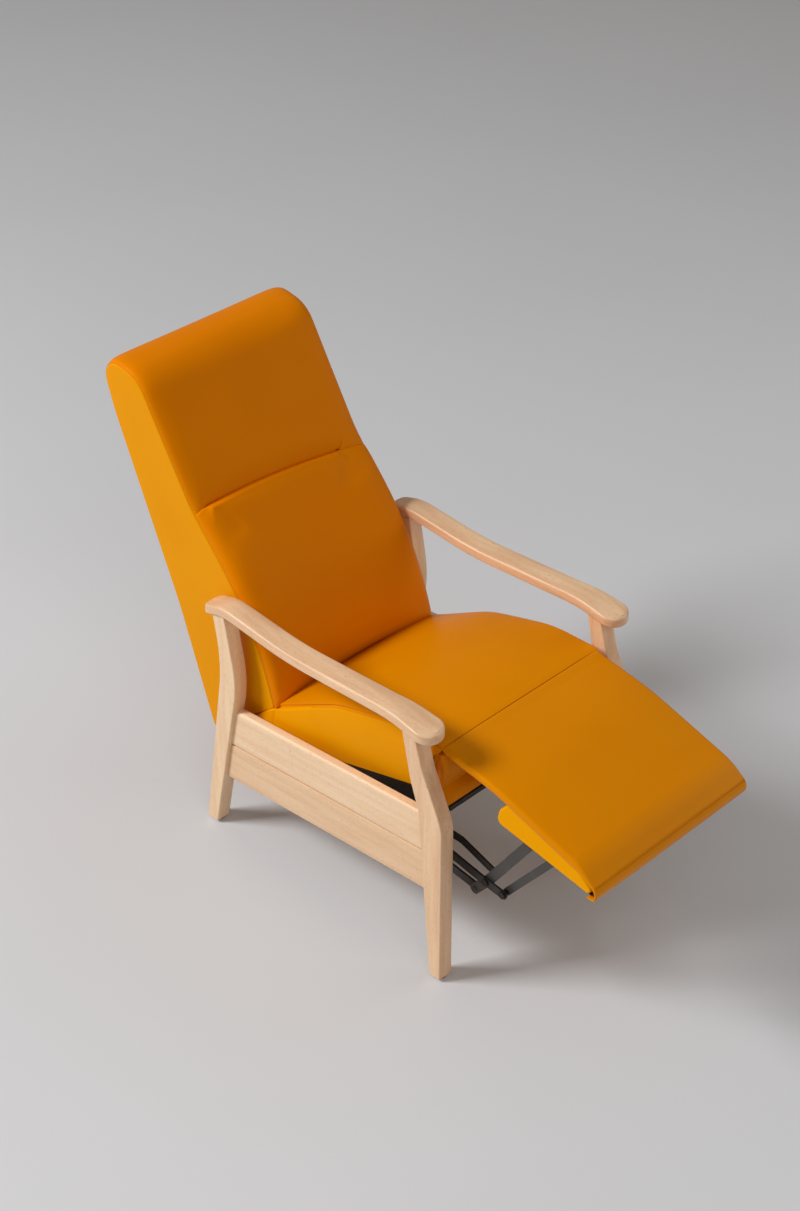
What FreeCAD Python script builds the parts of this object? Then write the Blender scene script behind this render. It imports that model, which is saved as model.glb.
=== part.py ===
"""Reclining care armchair: two beech side frames, a tilting seat, a reclining back and a link footrest.

Frame: millimetres, +Z up, feet on Z = 0, the front of the chair towards -Y, X = 0 the middle plane.
The chair is drawn leaning back with the footrest out, which is the pose of joint value zero.
Left means the -X side. Lengths "behind" are measured from the front of the front feet.
"""
import FreeCAD, Part
import Sketcher
import math
import os

V = FreeCAD.Vector
doc = FreeCAD.newDocument("care_armchair")
sheet = doc.addObject("Spreadsheet::Sheet", "sizes")

SIZES = [
    # Whole chair
    ("front_foot_y", -365.5, "front of the front feet, from the origin"),
    ("frame_half_width", 310.0, "middle plane to the outer face of the legs"),
    ("seat_side_gap", 22.0, "leg to seat, each side"),
    ("back_overlap", 5.0, "back wider than the seat, each side"),
    # Legs
    ("leg_thickness", 38.0, "across the chair"),
    ("leg_edge_round", 3.0, "rounding along the legs"),
    ("glide_height", 5.0, "black glide under each leg"),
    ("glide_radius", 13.0, ""),
    ("front_foot_depth", 33.0, "front leg at the floor"),
    ("front_knee_height", 462.0, "where the front leg turns back"),
    ("front_knee_depth", 70.0, "front leg at the knee"),
    ("front_top_set_back", 84.0, "front edge at the armrest, behind the foot"),
    ("front_top_depth", 38.0, "front leg under the armrest"),
    ("rear_foot_back", 752.0, "front edge of the rear foot"),
    ("rear_foot_depth", 35.0, "rear leg at the floor"),
    ("rear_waist_back", 651.0, "front edge where the rear leg turns"),
    ("rear_waist_height", 470.0, ""),
    ("rear_waist_depth", 50.0, ""),
    ("rear_top_back", 683.0, "front edge under the armrest"),
    ("rear_top_depth", 39.0, ""),
    ("leg_top_height", 672.0, "front legs run up to here and are fitted to the armrest"),
    ("rear_leg_top_height", 658.0, "the same for the rear legs"),
    # Armrests
    ("arm_set_in", 20.0, "outer face of the legs to the middle of the armrest"),
    ("arm_thickness", 26.0, ""),
    ("arm_nose_back", 28.0, "nose, behind the front foot"),
    ("arm_end_back", 746.0, "rear end, behind the front foot"),
    ("arm_nose_half_width", 38.5, ""),
    ("arm_waist_half_width", 30.0, "where the paddle of the nose begins"),
    ("arm_waist_back", 180.0, ""),
    ("arm_end_half_width", 27.5, ""),
    ("arm_end_set_in", 21.0, "the same at the rear end"),
    ("arm_nose_height", 682.0, "top at the nose"),
    ("arm_crest_height", 693.0, "corner of the top near the front"),
    ("arm_crest_back", 130.0, ""),
    ("arm_dip_height", 666.0, "corner of the top in the middle"),
    ("arm_dip_back", 470.0, ""),
    ("arm_rise_height", 680.0, "corner of the top near the rear"),
    ("arm_rise_back", 680.0, ""),
    ("arm_end_height", 658.0, "top at the rear end"),
    ("arm_edge_round", 7.0, ""),
    ("joint_gap", 0.1, "leg to armrest"),
    # Side rails
    ("rail_thickness", 22.0, ""),
    ("rail_inset", 10.0, "outer face of the legs to the rail"),
    ("rail_slope", 6.42, "degrees, rising to the front"),
    ("rail_top_height", 449.0, "top edge at the front leg"),
    ("upper_rail_height", 104.0, ""),
    ("lower_rail_height", 108.0, ""),
    ("rail_top_round", 8.0, "outer top edge"),
    ("rail_groove", 3.0, "chamfer each side of the groove between the boards"),
    # Cross rails
    ("cross_rail_thickness", 22.0, ""),
    ("cross_rail_height", 56.0, ""),
    ("front_cross_back", 318.0, "front cross rail behind the front feet"),
    ("rear_cross_back", 658.0, ""),
    ("cross_rail_lift", 14.0, "above the lower edge of the side rails"),
    ("cross_edge_round", 3.0, ""),
    # Seat, placed by the seam at the top of its front edge
    ("seam_back", 56.0, "front seam, behind the front feet"),
    ("seam_height", 592.0, "front seam above the floor"),
    ("seat_slope", 17.0, "degrees, rising to the front"),
    ("seam_bead_radius", 10.0, "roll along the front seam"),
    ("seam_gap", 0.4, "roll to seat"),
    ("seat_depth", 632.0, "front seam to the rear of the seat"),
    ("seat_bottom", 103.0, "underside below the front seam"),
    ("seat_panel_thickness", 12.0, "plywood under the cushion"),
    ("seat_front_rise", 22.0, "cushion top above the seam, just behind it"),
    ("seat_mid_rise", 38.0, "cushion top at its middle"),
    ("seat_crease_depth", 552.0, "where the back meets the seat"),
    ("seat_crease_drop", 30.0, "crease below the front seam"),
    ("seat_rear_drop", 76.0, "rear edge of the cushion below the seam"),
    ("seat_crown", 20.0, "middle of the cushion above its sides"),
    ("band_thickness", 20.0, "padded front of the seat"),
    ("band_step", 40.0, "front face leans back by this at its seam"),
    ("band_seam_drop", 99.0, "seam of the front face"),
    ("band_bottom_drop", 143.0, "lower edge of the front face"),
    ("band_toe", 30.0, "lower edge behind the front seam"),
    ("front_bar_height", 12.0, "steel bar under the front"),
    ("front_bar_depth", 36.0, ""),
    ("front_rail_thickness", 18.0, "wood rail behind the padded front"),
    # Seat plates and the links of the footrest, placed from the front seam along the seat
    ("plate_inset", 2.0, "seat side to plate"),
    ("plate_thickness", 4.0, ""),
    ("plate_edge", 20.0, "steel round the pivots"),
    ("washer", 4.0, "plate to the first link"),
    ("link_thickness", 5.0, ""),
    ("link_gap", 2.0, "between two layers of links"),
    ("link_half_width", 11.0, ""),
    ("bar_half_width", 12.0, ""),
    ("short_bar_half_width", 9.0, ""),
    ("drive_half_width", 9.0, ""),
    ("pin_radius", 5.0, ""),
    ("pin_clearance", 0.05, "radial"),
    ("pin_head_radius", 9.0, ""),
    ("pin_head", 3.0, ""),
    ("shoulder_radius", 8.0, ""),
    ("face_gap", 0.1, "head or shoulder to a turning plate"),
    ("drive_pivot_behind", 110.0, ""),
    ("drive_pivot_drop", 215.0, ""),
    ("front_pivot_behind", 135.0, ""),
    ("front_pivot_drop", 239.0, ""),
    ("rear_pivot_behind", 188.0, ""),
    ("rear_pivot_drop", 282.0, ""),
    ("drive_bend_behind", 35.0, ""),
    ("drive_bend_drop", 237.0, ""),
    ("cross_pin_ahead", 30.0, "long bar on the front link"),
    ("cross_pin_drop", 316.0, ""),
    ("end_pin_ahead", 76.0, "short bar on the front link"),
    ("end_pin_drop", 334.0, ""),
    ("heel_pin_behind", 20.0, "long bar on the rear link"),
    ("heel_pin_drop", 351.0, ""),
    ("drive_pin_ahead", 54.0, "long bar on the drive link"),
    ("drive_pin_drop", 297.0, ""),
    # Seat hinge on the frame
    ("tilt_pivot_behind", 606.0, "seat hinge, from the front seam along the seat"),
    ("tilt_pivot_drop", 120.0, ""),
    ("tilt_pin_radius", 6.0, ""),
    ("base_plate_reach", 80.0, "base plate ahead of the hinge"),
    ("base_plate_tail", 60.0, "base plate behind the hinge"),
    ("base_plate_half_height", 45.0, ""),
    ("bolt_radius", 4.0, ""),
    ("bolt_clearance", 0.25, ""),
    ("bolt_head_radius", 7.0, ""),
    ("bolt_depth", 14.0, "into the rail"),
    ("bolt_margin", 16.0, "bolt to the edge of the plate"),
    # Back, placed from its lower rear edge, up along its rear face and out to the front
    ("back_heel_back", 808.0, "lower rear edge, behind the front feet"),
    ("back_heel_height", 230.0, ""),
    ("back_lean", 19.8, "degrees of the rear face from upright"),
    ("back_height", 947.0, "rear face, to the corner of the top"),
    ("back_toe_up", 98.0, "lower front edge"),
    ("back_toe_out", 268.0, ""),
    ("lumbar_up", 306.0, "corner of the lumbar curve"),
    ("lumbar_out", 281.0, ""),
    ("lumbar_round", 740.0, ""),
    ("fold_up", 578.0, "seam between lumbar and head"),
    ("fold_out", 172.0, ""),
    ("fold_depth", 16.0, "seam behind the cushions"),
    ("head_below_top", 64.0, "corner at the top of the front"),
    ("head_out", 112.0, ""),
    ("head_round", 60.0, ""),
    ("crown_round", 46.0, "rounding at the top of the rear"),
    ("back_crown", 14.0, "middle of the cushions above their sides"),
    ("side_panel_thickness", 12.0, ""),
    ("rear_panel_thickness", 10.0, ""),
    ("rear_panel_below_top", 65.0, ""),
    ("stile_depth", 45.0, ""),
    ("stile_width", 24.0, ""),
    ("stile_bottom", 60.0, ""),
    ("stile_below_top", 137.0, ""),
    ("back_rail_height", 50.0, ""),
    ("strap_thickness", 2.0, ""),
    ("strap_height", 55.0, ""),
    ("strap_count", 5.0, ""),
    ("soft_gap", 0.3, "cushions to their neighbours"),
    ("recline_pivot_behind", 570.0, "back hinge, from the front seam along the seat"),
    ("recline_pivot_drop", 34.0, ""),
    ("hinge_ear_radius", 11.0, ""),
    ("hinge_gap", 2.0, "seat ear to back bracket"),
    ("hinge_slot", 3.0, "room round the hinge in the cushion"),
    # Footrest, placed from the front seam, out along the flap and down from it
    ("foot_slope", 12.5, "degrees, falling to the front"),
    ("foot_margin", 5.0, "footrest narrower than the seat, each side"),
    ("flap_length", 451.0, "front seam to the nose"),
    ("flap_thickness", 13.0, ""),
    ("flap_rise", 21.0, "top of the flap above the seam line"),
    ("flap_rise_out", 150.0, ""),
    ("flap_shoulder_out", 388.0, "where the front falls away"),
    ("flap_shoulder_rise", 6.0, ""),
    ("flap_nose_drop", 28.0, ""),
    ("flap_hem_drop", 55.0, ""),
    ("flap_hem_out", 444.0, ""),
    ("flap_crown", 8.0, ""),
    ("pad_margin", 3.0, "pad narrower than the flap"),
    ("pad_heel_out", 168.0, "rear end of the padded board"),
    ("pad_toe_out", 424.0, ""),
    ("pad_heel_drop", 62.0, "underside at the rear end"),
    ("pad_toe_drop", 45.0, "underside at the front"),
    ("pad_round", 14.0, ""),
    ("board_thickness", 12.0, "plywood let into the pad"),
    ("board_margin", 35.0, ""),
    ("link_well", 9.0, "room for the bars under the pad"),
    ("clip_thickness", 3.0, "plastic clip that holds the hem"),
    ("clip_width", 14.0, ""),
    ("long_bar_foot_out", 253.0, "long bar on the footrest bracket"),
    ("long_bar_foot_drop", 70.0, ""),
    ("short_bar_foot_out", 315.5, "short bar on the footrest bracket"),
    ("short_bar_foot_drop", 65.0, ""),
    ("bracket_edge", 12.0, ""),
    ("bracket_flange", 30.0, ""),
]

for row, (alias, value, note) in enumerate(SIZES, start=1):
    sheet.set("A%d" % row, alias.replace("_", " "))
    sheet.set("B%d" % row, str(value))
    sheet.set("C%d" % row, note)
    sheet.setAlias("B%d" % row, alias)
doc.recompute()


def size(alias):
    """The value of one named cell."""
    return float(sheet.get(alias))


# Places worked out from the cells; those across the chair are distances from the middle plane
sheet_row = len(SIZES) + 1
DERIVED = [
    ("leg_inner", "frame_half_width - leg_thickness"),
    ("arm_centre", "frame_half_width - arm_set_in"),
    ("arm_end_centre", "frame_half_width - arm_end_set_in"),
    ("rail_outer", "frame_half_width - rail_inset"),
    ("rail_inner", "rail_outer - rail_thickness"),
    ("base_plate_inner", "rail_inner - plate_thickness"),
    ("seat_half_width", "leg_inner - seat_side_gap"),
    ("back_half_width", "seat_half_width + back_overlap"),
    ("back_inner", "back_half_width - side_panel_thickness"),
    ("plate_outer", "seat_half_width - plate_inset"),
    ("plate_inner", "plate_outer - plate_thickness"),
    ("first_layer", "plate_inner - washer"),
    ("second_layer", "first_layer - link_thickness - link_gap"),
    ("third_layer", "second_layer - link_thickness - link_gap"),
    ("fourth_layer", "third_layer - link_thickness - link_gap"),
    ("hinge_outer", "plate_inner - hinge_gap"),
    ("stile_outer", "hinge_outer - plate_thickness"),
    ("foot_half_width", "seat_half_width - foot_margin"),
    ("pad_half_width", "foot_half_width - pad_margin"),
    ("pin_hole", "pin_radius + pin_clearance"),
    ("tilt_pin_hole", "tilt_pin_radius + pin_clearance"),
    ("head_up", "back_height - head_below_top"),
    ("rear_panel_height", "back_height - rear_panel_below_top"),
    ("stile_top", "back_height - stile_below_top"),
]
for row, (alias, formula) in enumerate(DERIVED, start=sheet_row):
    sheet.set("A%d" % row, alias.replace("_", " "))
    sheet.set("B%d" % row, "=" + formula)
    sheet.setAlias("B%d" % row, alias)
doc.recompute()


# Places in the side view, as (Y, Z)
def behind(distance, height):
    """A point behind the front of the front feet and above the floor."""
    return (size("front_foot_y") + distance, height)


SEAM = behind(size("seam_back"), size("seam_height"))


def on_seat(rearward, up):
    """A point from the front seam, along the seat to the rear and square to it."""
    turn = math.radians(size("seat_slope"))
    return (SEAM[0] + rearward * math.cos(turn) + up * math.sin(turn),
            SEAM[1] - rearward * math.sin(turn) + up * math.cos(turn))


def on_foot(out, up):
    """A point from the front seam, along the footrest to the front and square to it."""
    turn = math.radians(size("foot_slope"))
    return (SEAM[0] - out * math.cos(turn) - up * math.sin(turn),
            SEAM[1] - out * math.sin(turn) + up * math.cos(turn))


HEEL = behind(size("back_heel_back"), size("back_heel_height"))


def on_back(up, out):
    """A point from the lower rear edge of the back, up its rear face and out to the front."""
    turn = math.radians(size("back_lean"))
    return (HEEL[0] + up * math.sin(turn) - out * math.cos(turn),
            HEEL[1] + up * math.cos(turn) + out * math.sin(turn))


def meet(p, p_far, q, q_far):
    """Where the line through p and p_far crosses the line through q and q_far."""
    dy, dz = p_far[0] - p[0], p_far[1] - p[1]
    ey, ez = q_far[0] - q[0], q_far[1] - q[1]
    along = ((q[0] - p[0]) * ez - (q[1] - p[1]) * ey) / (dy * ez - dz * ey)
    return (p[0] + along * dy, p[1] + along * dz)


def corners(outline):
    """Lines and tangent arcs through corners given as (point, radius); radius 0 is a sharp corner."""
    count = len(outline)
    starts, ends, arcs = [], [], []
    for index, (corner, radius) in enumerate(outline):
        here = V(corner[0], corner[1], 0)
        before = V(outline[index - 1][0][0], outline[index - 1][0][1], 0) - here
        after_point = outline[(index + 1) % count][0]
        after = V(after_point[0], after_point[1], 0) - here
        before.normalize()
        after.normalize()
        half = before.getAngle(after) / 2
        if radius <= 0:
            starts.append(here)
            ends.append(here)
            arcs.append(None)
            continue
        reach = radius / math.tan(half)
        bisector = before + after
        bisector.normalize()
        middle = here + bisector * (radius / math.sin(half) - radius)
        starts.append(here + before * reach)
        ends.append(here + after * reach)
        arcs.append(Part.Arc(here + before * reach, middle, here + after * reach))
    edges = []
    for index in range(count):
        if arcs[index] is not None:
            edges.append(arcs[index])
        following = (index + 1) % count
        if ends[index].distanceToPoint(starts[following]) > 1e-6:
            edges.append(Part.LineSegment(ends[index], starts[following]))
    return edges


# Ways of making a piece
def origin_plane(body, role):
    """One of a body's own origin planes."""
    for feature in body.Origin.OriginFeatures:
        if feature.Role == role:
            return feature
    raise ValueError(role)


def padded(label, outline, length, start, holes=(), role="YZ_Plane"):
    """A body padded from a side-view outline; holes are (point, radius cell) pairs."""
    body = doc.addObject("PartDesign::Body", label)
    body.Label = label
    sketch = body.newObject("Sketcher::SketchObject", label + "_outline")
    sketch.AttachmentSupport = (origin_plane(body, role), [""])
    sketch.MapMode = "FlatFace"
    for edge in corners(outline):
        sketch.addGeometry(edge)
    for centre, radius in holes:
        index = sketch.addGeometry(Part.Circle(V(centre[0], centre[1], 0), V(0, 0, 1), size(radius)))
        constraint = sketch.addConstraint(Sketcher.Constraint("Radius", index, size(radius)))
        sketch.setExpression("Constraints[%d]" % constraint, "sizes." + radius)
    pad = body.newObject("PartDesign::Pad", label + "_pad")
    pad.Profile = sketch
    pad.setExpression("Length", length)
    axis = "x" if role == "YZ_Plane" else "z"
    body.setExpression("Placement.Base." + axis, start)
    sketch.Visibility = False
    return body


def rounded(body, radius, chosen):
    """Round the edges of a body's last feature that the test chosen(edge) picks."""
    doc.recompute()
    last = body.Tip
    names = ["Edge%d" % (i + 1) for i, edge in enumerate(last.Shape.Edges) if chosen(edge)]
    fillet = body.newObject("PartDesign::Fillet", body.Name + "_round")
    fillet.Base = (last, names)
    fillet.setExpression("Radius", radius)
    return body


def along_outline(edge):
    """True for an edge that lies in a side face of a pad."""
    box = edge.BoundBox
    return box.XLength < 1e-6


def box(label, length, width, height, place):
    """A rectangular bar: sizes are formulas, place gives formulas for its lowest corner."""
    bar = doc.addObject("Part::Box", label)
    bar.Label = label
    bar.setExpression("Length", length)
    bar.setExpression("Width", width)
    bar.setExpression("Height", height)
    for axis, formula in zip("xyz", place):
        bar.setExpression("Placement.Base." + axis, formula)
    return bar


def rod(label, centre, start, stop, radius):
    """A cylinder across the chair at a side-view point, from start to stop."""
    cylinder = doc.addObject("Part::Cylinder", label)
    cylinder.setExpression("Radius", radius)
    cylinder.setExpression("Height", "(%s) - (%s)" % (stop, start))
    cylinder.Placement = FreeCAD.Placement(V(0, centre[0], centre[1]), FreeCAD.Rotation(V(0, 1, 0), 90))
    cylinder.setExpression("Placement.Base.x", start)
    return cylinder


def stepped(label, centre, steps):
    """A turned pin: rods end to end, each given as (start, stop, radius)."""
    rods = [rod("%s_%d" % (label, i), centre, *step) for i, step in enumerate(steps)]
    fuse = doc.addObject("Part::MultiFuse", label)
    fuse.Shapes = rods
    fuse.Refine = True
    fuse.Label = label
    return fuse


def cut(label, base, tools):
    """Base with the tools taken out of it."""
    tool = tools[0]
    if len(tools) > 1:
        tool = doc.addObject("Part::MultiFuse", label + "_tools")
        tool.Shapes = tools
    result = doc.addObject("Part::Cut", label)
    result.Base = base
    result.Tool = tool
    result.Label = label
    return result


def fuse(label, pieces):
    """Pieces made in one."""
    result = doc.addObject("Part::MultiFuse", label)
    result.Shapes = pieces
    result.Refine = True
    result.Label = label
    return result


def group(label, pieces):
    """Separate like pieces that share one name."""
    result = doc.addObject("Part::Compound", label)
    result.Links = pieces
    result.Label = label
    return result


def mirrored(label, piece):
    """The same piece on the other side of the middle plane."""
    result = doc.addObject("Part::Mirroring", label)
    result.Source = piece
    result.Base = V(0, 0, 0)
    result.Normal = V(1, 0, 0)
    result.Label = label
    return result


def lofted(label, sections):
    """A soft solid: a smooth loft through closed side-view wires placed across the chair."""
    piece = doc.addObject("Part::Feature", label)
    piece.Shape = Part.makeLoft(sections, True, False)
    piece.Label = label
    return piece


def wire_at(across, edges):
    """A closed wire of (kind, points) edges in the side view, at a distance across the chair."""
    made = []
    for points in edges:
        spots = [V(across, y, z) for y, z in points]
        if len(spots) == 2:
            made.append(Part.LineSegment(*spots).toShape())
        else:
            made.append(Part.Arc(*spots).toShape())
    return Part.Wire(made)


def between(p, q, share):
    """The point that lies the given share of the way from p to q."""
    return (p[0] + share * (q[0] - p[0]), p[1] + share * (q[1] - p[1]))


parts = []


def keep(piece):
    """Note a finished piece for writing, and give it back."""
    parts.append(piece)
    return piece


def pair(name, piece):
    """Keep a left piece and its mirror image on the right."""
    piece.Label = "left_" + name
    keep(piece)
    keep(mirrored("right_" + name, piece))
    return piece


# Armrests: an S-shaped side view and a paddle-shaped plan, cut from one board
ARM_TOP = [
    (behind(size("arm_nose_back"), size("arm_nose_height")), 0.0),
    (behind(size("arm_crest_back"), size("arm_crest_height")), 300.0),
    (behind(size("arm_dip_back"), size("arm_dip_height")), 900.0),
    (behind(size("arm_rise_back"), size("arm_rise_height")), 140.0),
    (behind(size("arm_end_back"), size("arm_end_height")), 0.0),
]


def lowered(outline, drop):
    """The same corners, lower by the given drop, in reverse order."""
    return [((point[0], point[1] - drop), radius) for point, radius in reversed(outline)]


ARM_SIDE_STRETCH = 4
arm_side = padded("arm_side_view", ARM_TOP + lowered(ARM_TOP, size("arm_thickness")),
                  "sizes.arm_nose_half_width * %d" % ARM_SIDE_STRETCH,
                  "-sizes.arm_centre - sizes.arm_nose_half_width * %d / 2" % ARM_SIDE_STRETCH)
ARM_NOSE_SHARE = 0.94
nose_half, waist_half, end_half = (size("arm_%s_half_width" % place) for place in ("nose", "waist", "end"))
nose_y = behind(size("arm_nose_back"), 0)[0]
waist_y = behind(size("arm_waist_back"), 0)[0]
end_y = behind(size("arm_end_back"), 0)[0]
arm_centre = -size("arm_centre")
end_centre = -size("arm_end_centre")
ARM_PLAN = [
    ((arm_centre - nose_half, nose_y), nose_half * ARM_NOSE_SHARE),
    ((arm_centre + nose_half, nose_y), nose_half * ARM_NOSE_SHARE),
    ((arm_centre + waist_half, waist_y), 120.0),
    ((end_centre + end_half, end_y), end_half * 0.6),
    ((end_centre - end_half, end_y), end_half * 0.6),
    ((arm_centre - waist_half, waist_y), 120.0),
]
arm_plan = padded("arm_plan", ARM_PLAN, "sizes.arm_crest_height", "0", role="XY_Plane")
arm_blank = doc.addObject("Part::Common", "arm_blank")
arm_blank.Base = arm_side
arm_blank.Tool = arm_plan
doc.recompute()
arm = doc.addObject("Part::Fillet", "left_armrest")
arm.Base = arm_blank
arm_edges = []
for number, edge in enumerate(arm_blank.Shape.Edges, start=1):
    bounds = edge.BoundBox
    upright = bounds.ZLength > size("arm_thickness") * 0.9 and bounds.YLength < 1
    at_an_end = bounds.YMin < nose_y + 1 or bounds.YMax > end_y - 1
    across_the_top = bounds.YLength < 1 and not at_an_end
    if not upright and not across_the_top:
        arm_edges.append((number, size("arm_edge_round"), size("arm_edge_round")))
arm.Edges = arm_edges
pair("armrest", arm)

# Legs: sawn to shape, softened along their edges and fitted under the armrest
arm_room = padded("arm_room", ARM_TOP + lowered(ARM_TOP, size("arm_thickness") + size("joint_gap")),
                  "sizes.arm_nose_half_width * %d" % ARM_SIDE_STRETCH,
                  "-sizes.arm_centre - sizes.arm_nose_half_width * %d / 2" % ARM_SIDE_STRETCH)
knee = size("front_knee_height")
FRONT_LEG = [
    (behind(0, size("glide_height")), 0.0),
    (behind(0, knee - 14), 120.0),
    (behind(57, knee + 110), 160.0),
    (behind(size("front_top_set_back"), size("leg_top_height")), 0.0),
    (behind(size("front_top_set_back") + size("front_top_depth"), size("leg_top_height")), 0.0),
    (behind(93, knee + 68), 160.0),
    (behind(size("front_knee_depth"), knee), 90.0),
    (behind(size("front_foot_depth"), size("glide_height")), 0.0),
]
REAR_LEG = [
    (behind(size("rear_foot_back"), size("glide_height")), 0.0),
    (behind(size("rear_waist_back"), size("rear_waist_height")), 330.0),
    (behind(size("rear_top_back") + 1, size("rear_leg_top_height")), 0.0),
    (behind(size("rear_top_back") + 1 + size("rear_top_depth"), size("rear_leg_top_height")), 0.0),
    (behind(size("rear_waist_back") + size("rear_waist_depth"), size("rear_waist_height") + 45), 450.0),
    (behind(size("rear_foot_back") + size("rear_foot_depth"), size("glide_height")), 0.0),
]
for leg_name, leg_outline in (("front_leg", FRONT_LEG), ("rear_leg", REAR_LEG)):
    blank = padded(leg_name + "_blank", leg_outline, "sizes.leg_thickness", "-sizes.frame_half_width")
    rounded(blank, "sizes.leg_edge_round", along_outline)
    pair(leg_name, cut(leg_name, blank, [arm_room]))

# Glides: a black disc under each foot
glides = []
for foot_back, foot_depth in (("0", "front_foot_depth"), ("sizes.rear_foot_back", "rear_foot_depth")):
    for side in (-1, 1):
        glide = doc.addObject("Part::Cylinder", "glide")
        glide.setExpression("Radius", "sizes.glide_radius")
        glide.setExpression("Height", "sizes.glide_height")
        glide.setExpression("Placement.Base.x",
                            "%d * (sizes.frame_half_width - sizes.leg_thickness / 2)" % side)
        glide.setExpression("Placement.Base.y",
                            "sizes.front_foot_y + %s + sizes.%s / 2" % (foot_back, foot_depth))
        glides.append(glide)
keep(group("foot_glides", glides))

# Side rails: two boards on edge between the legs, chamfered where they meet
front_line = (FRONT_LEG[7][0], FRONT_LEG[6][0])
rear_line = (REAR_LEG[0][0], REAR_LEG[1][0])
rail_fall = math.tan(math.radians(size("rail_slope")))


def rail_line(drop):
    """Two points of a line along the rail, below its top edge."""
    start = behind(size("front_knee_depth"), size("rail_top_height") - drop)
    return (start, (start[0] + 1000.0, start[1] - 1000.0 * rail_fall))


def rail_corners(top_drop, bottom_drop):
    """Corners of one rail board, cut to the two legs."""
    top, bottom = rail_line(top_drop), rail_line(bottom_drop)
    return [(meet(*top, *front_line), 0.0), (meet(*top, *rear_line), 0.0),
            (meet(*bottom, *rear_line), 0.0), (meet(*bottom, *front_line), 0.0)]


def chamfered(body, width, chosen):
    """Bevel the edges of a body's last feature that the test picks."""
    doc.recompute()
    last = body.Tip
    names = ["Edge%d" % (i + 1) for i, edge in enumerate(last.Shape.Edges) if chosen(edge)]
    bevel = body.newObject("PartDesign::Chamfer", body.Name + "_bevel")
    bevel.Base = (last, names)
    bevel.setExpression("Size", width)
    return body


def outer_long_edge(body, upper):
    """A test for the long outer edge at the top or at the bottom of a rail board."""
    doc.recompute()
    top = max(vertex.Z for vertex in body.Tip.Shape.Vertexes)

    def chosen(edge):
        bounds = edge.BoundBox
        long_outer = bounds.XLength < 1e-6 and bounds.XMin < 1e-6 and bounds.YLength > 300
        return long_outer and (bounds.ZMax > top - 12) == upper

    return chosen


TILT_PIVOT = on_seat(size("tilt_pivot_behind"), -size("tilt_pivot_drop"))
bolt_rows = (-size("base_plate_half_height") + size("bolt_margin"),
             size("base_plate_half_height") - size("bolt_margin"))
bolt_files = (-size("base_plate_reach") + size("bolt_margin"), size("base_plate_tail") - size("bolt_margin"))
lower_bolts = [(TILT_PIVOT[0] + y, TILT_PIVOT[1] + bolt_rows[0]) for y in bolt_files]
upper_bolts = [(TILT_PIVOT[0] + y, TILT_PIVOT[1] + bolt_rows[1]) for y in bolt_files]


def bolt_holes(label, centres):
    """Rods that leave blind holes for the bolts in a rail."""
    return [rod("%s_hole_%d" % (label, i), centre, "-sizes.rail_inner - sizes.bolt_depth - 1",
                "-sizes.rail_inner + 1", "sizes.bolt_radius + sizes.bolt_clearance")
            for i, centre in enumerate(centres)]


upper_drop = size("upper_rail_height")
lower_drop = upper_drop + size("lower_rail_height")
upper_rail = padded("upper_rail_blank", rail_corners(0.0, upper_drop), "sizes.rail_thickness", "-sizes.rail_outer")
rounded(upper_rail, "sizes.rail_top_round", outer_long_edge(upper_rail, True))
chamfered(upper_rail, "sizes.rail_groove", outer_long_edge(upper_rail, False))
pair("upper_rail", cut("upper_rail", upper_rail, bolt_holes("upper", lower_bolts + upper_bolts)))
lower_rail = padded("lower_rail_blank", rail_corners(upper_drop, lower_drop), "sizes.rail_thickness",
                    "-sizes.rail_outer")
chamfered(lower_rail, "sizes.rail_groove", outer_long_edge(lower_rail, True))
pair("lower_rail", cut("lower_rail", lower_rail, bolt_holes("lower", lower_bolts + upper_bolts)))

# Cross rails: two boards that hold the side frames apart
for name, place in (("front_cross_rail", "front_cross_back"), ("rear_cross_rail", "rear_cross_back")):
    fall = "(sizes.%s - sizes.front_knee_depth) * tan(sizes.rail_slope * 1 deg)" % place
    keep(box(name, "2 * sizes.rail_inner", "sizes.cross_rail_thickness", "sizes.cross_rail_height",
             ("-sizes.rail_inner", "sizes.front_foot_y + sizes." + place,
              "sizes.rail_top_height - sizes.upper_rail_height - sizes.lower_rail_height - %s"
              " + sizes.cross_rail_lift" % fall)))

# Base plates, their bolts and the hinge pins of the seat
half_plate = size("base_plate_half_height")
BASE_PLATE = [
    ((TILT_PIVOT[0] - size("base_plate_reach"), TILT_PIVOT[1] - half_plate), 10.0),
    ((TILT_PIVOT[0] + size("base_plate_tail"), TILT_PIVOT[1] - half_plate), 10.0),
    ((TILT_PIVOT[0] + size("base_plate_tail"), TILT_PIVOT[1] + half_plate), 10.0),
    ((TILT_PIVOT[0] - size("base_plate_reach"), TILT_PIVOT[1] + half_plate), 10.0),
]
base_plate = padded("base_plate", BASE_PLATE, "sizes.plate_thickness", "-sizes.rail_inner",
                    [(TILT_PIVOT, "tilt_pin_hole")])
plate_holes = [rod("plate_hole_%d" % i, centre, "-sizes.rail_inner - 1", "-sizes.base_plate_inner + 1",
                   "sizes.bolt_radius + sizes.bolt_clearance")
               for i, centre in enumerate(lower_bolts + upper_bolts)]
pair("base_plate", cut("base_plate_drilled", base_plate, plate_holes))
bolts = [stepped("bolt_%d" % i, centre, [
    ("-sizes.rail_inner - sizes.bolt_depth", "-sizes.base_plate_inner", "sizes.bolt_radius"),
    ("-sizes.base_plate_inner", "-sizes.base_plate_inner + sizes.bolt_radius", "sizes.bolt_head_radius"),
]) for i, centre in enumerate(lower_bolts + upper_bolts)]
keep(group("base_plate_bolts", bolts + [mirrored("bolt_mirror_%d" % i, b) for i, b in enumerate(bolts)]))
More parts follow.
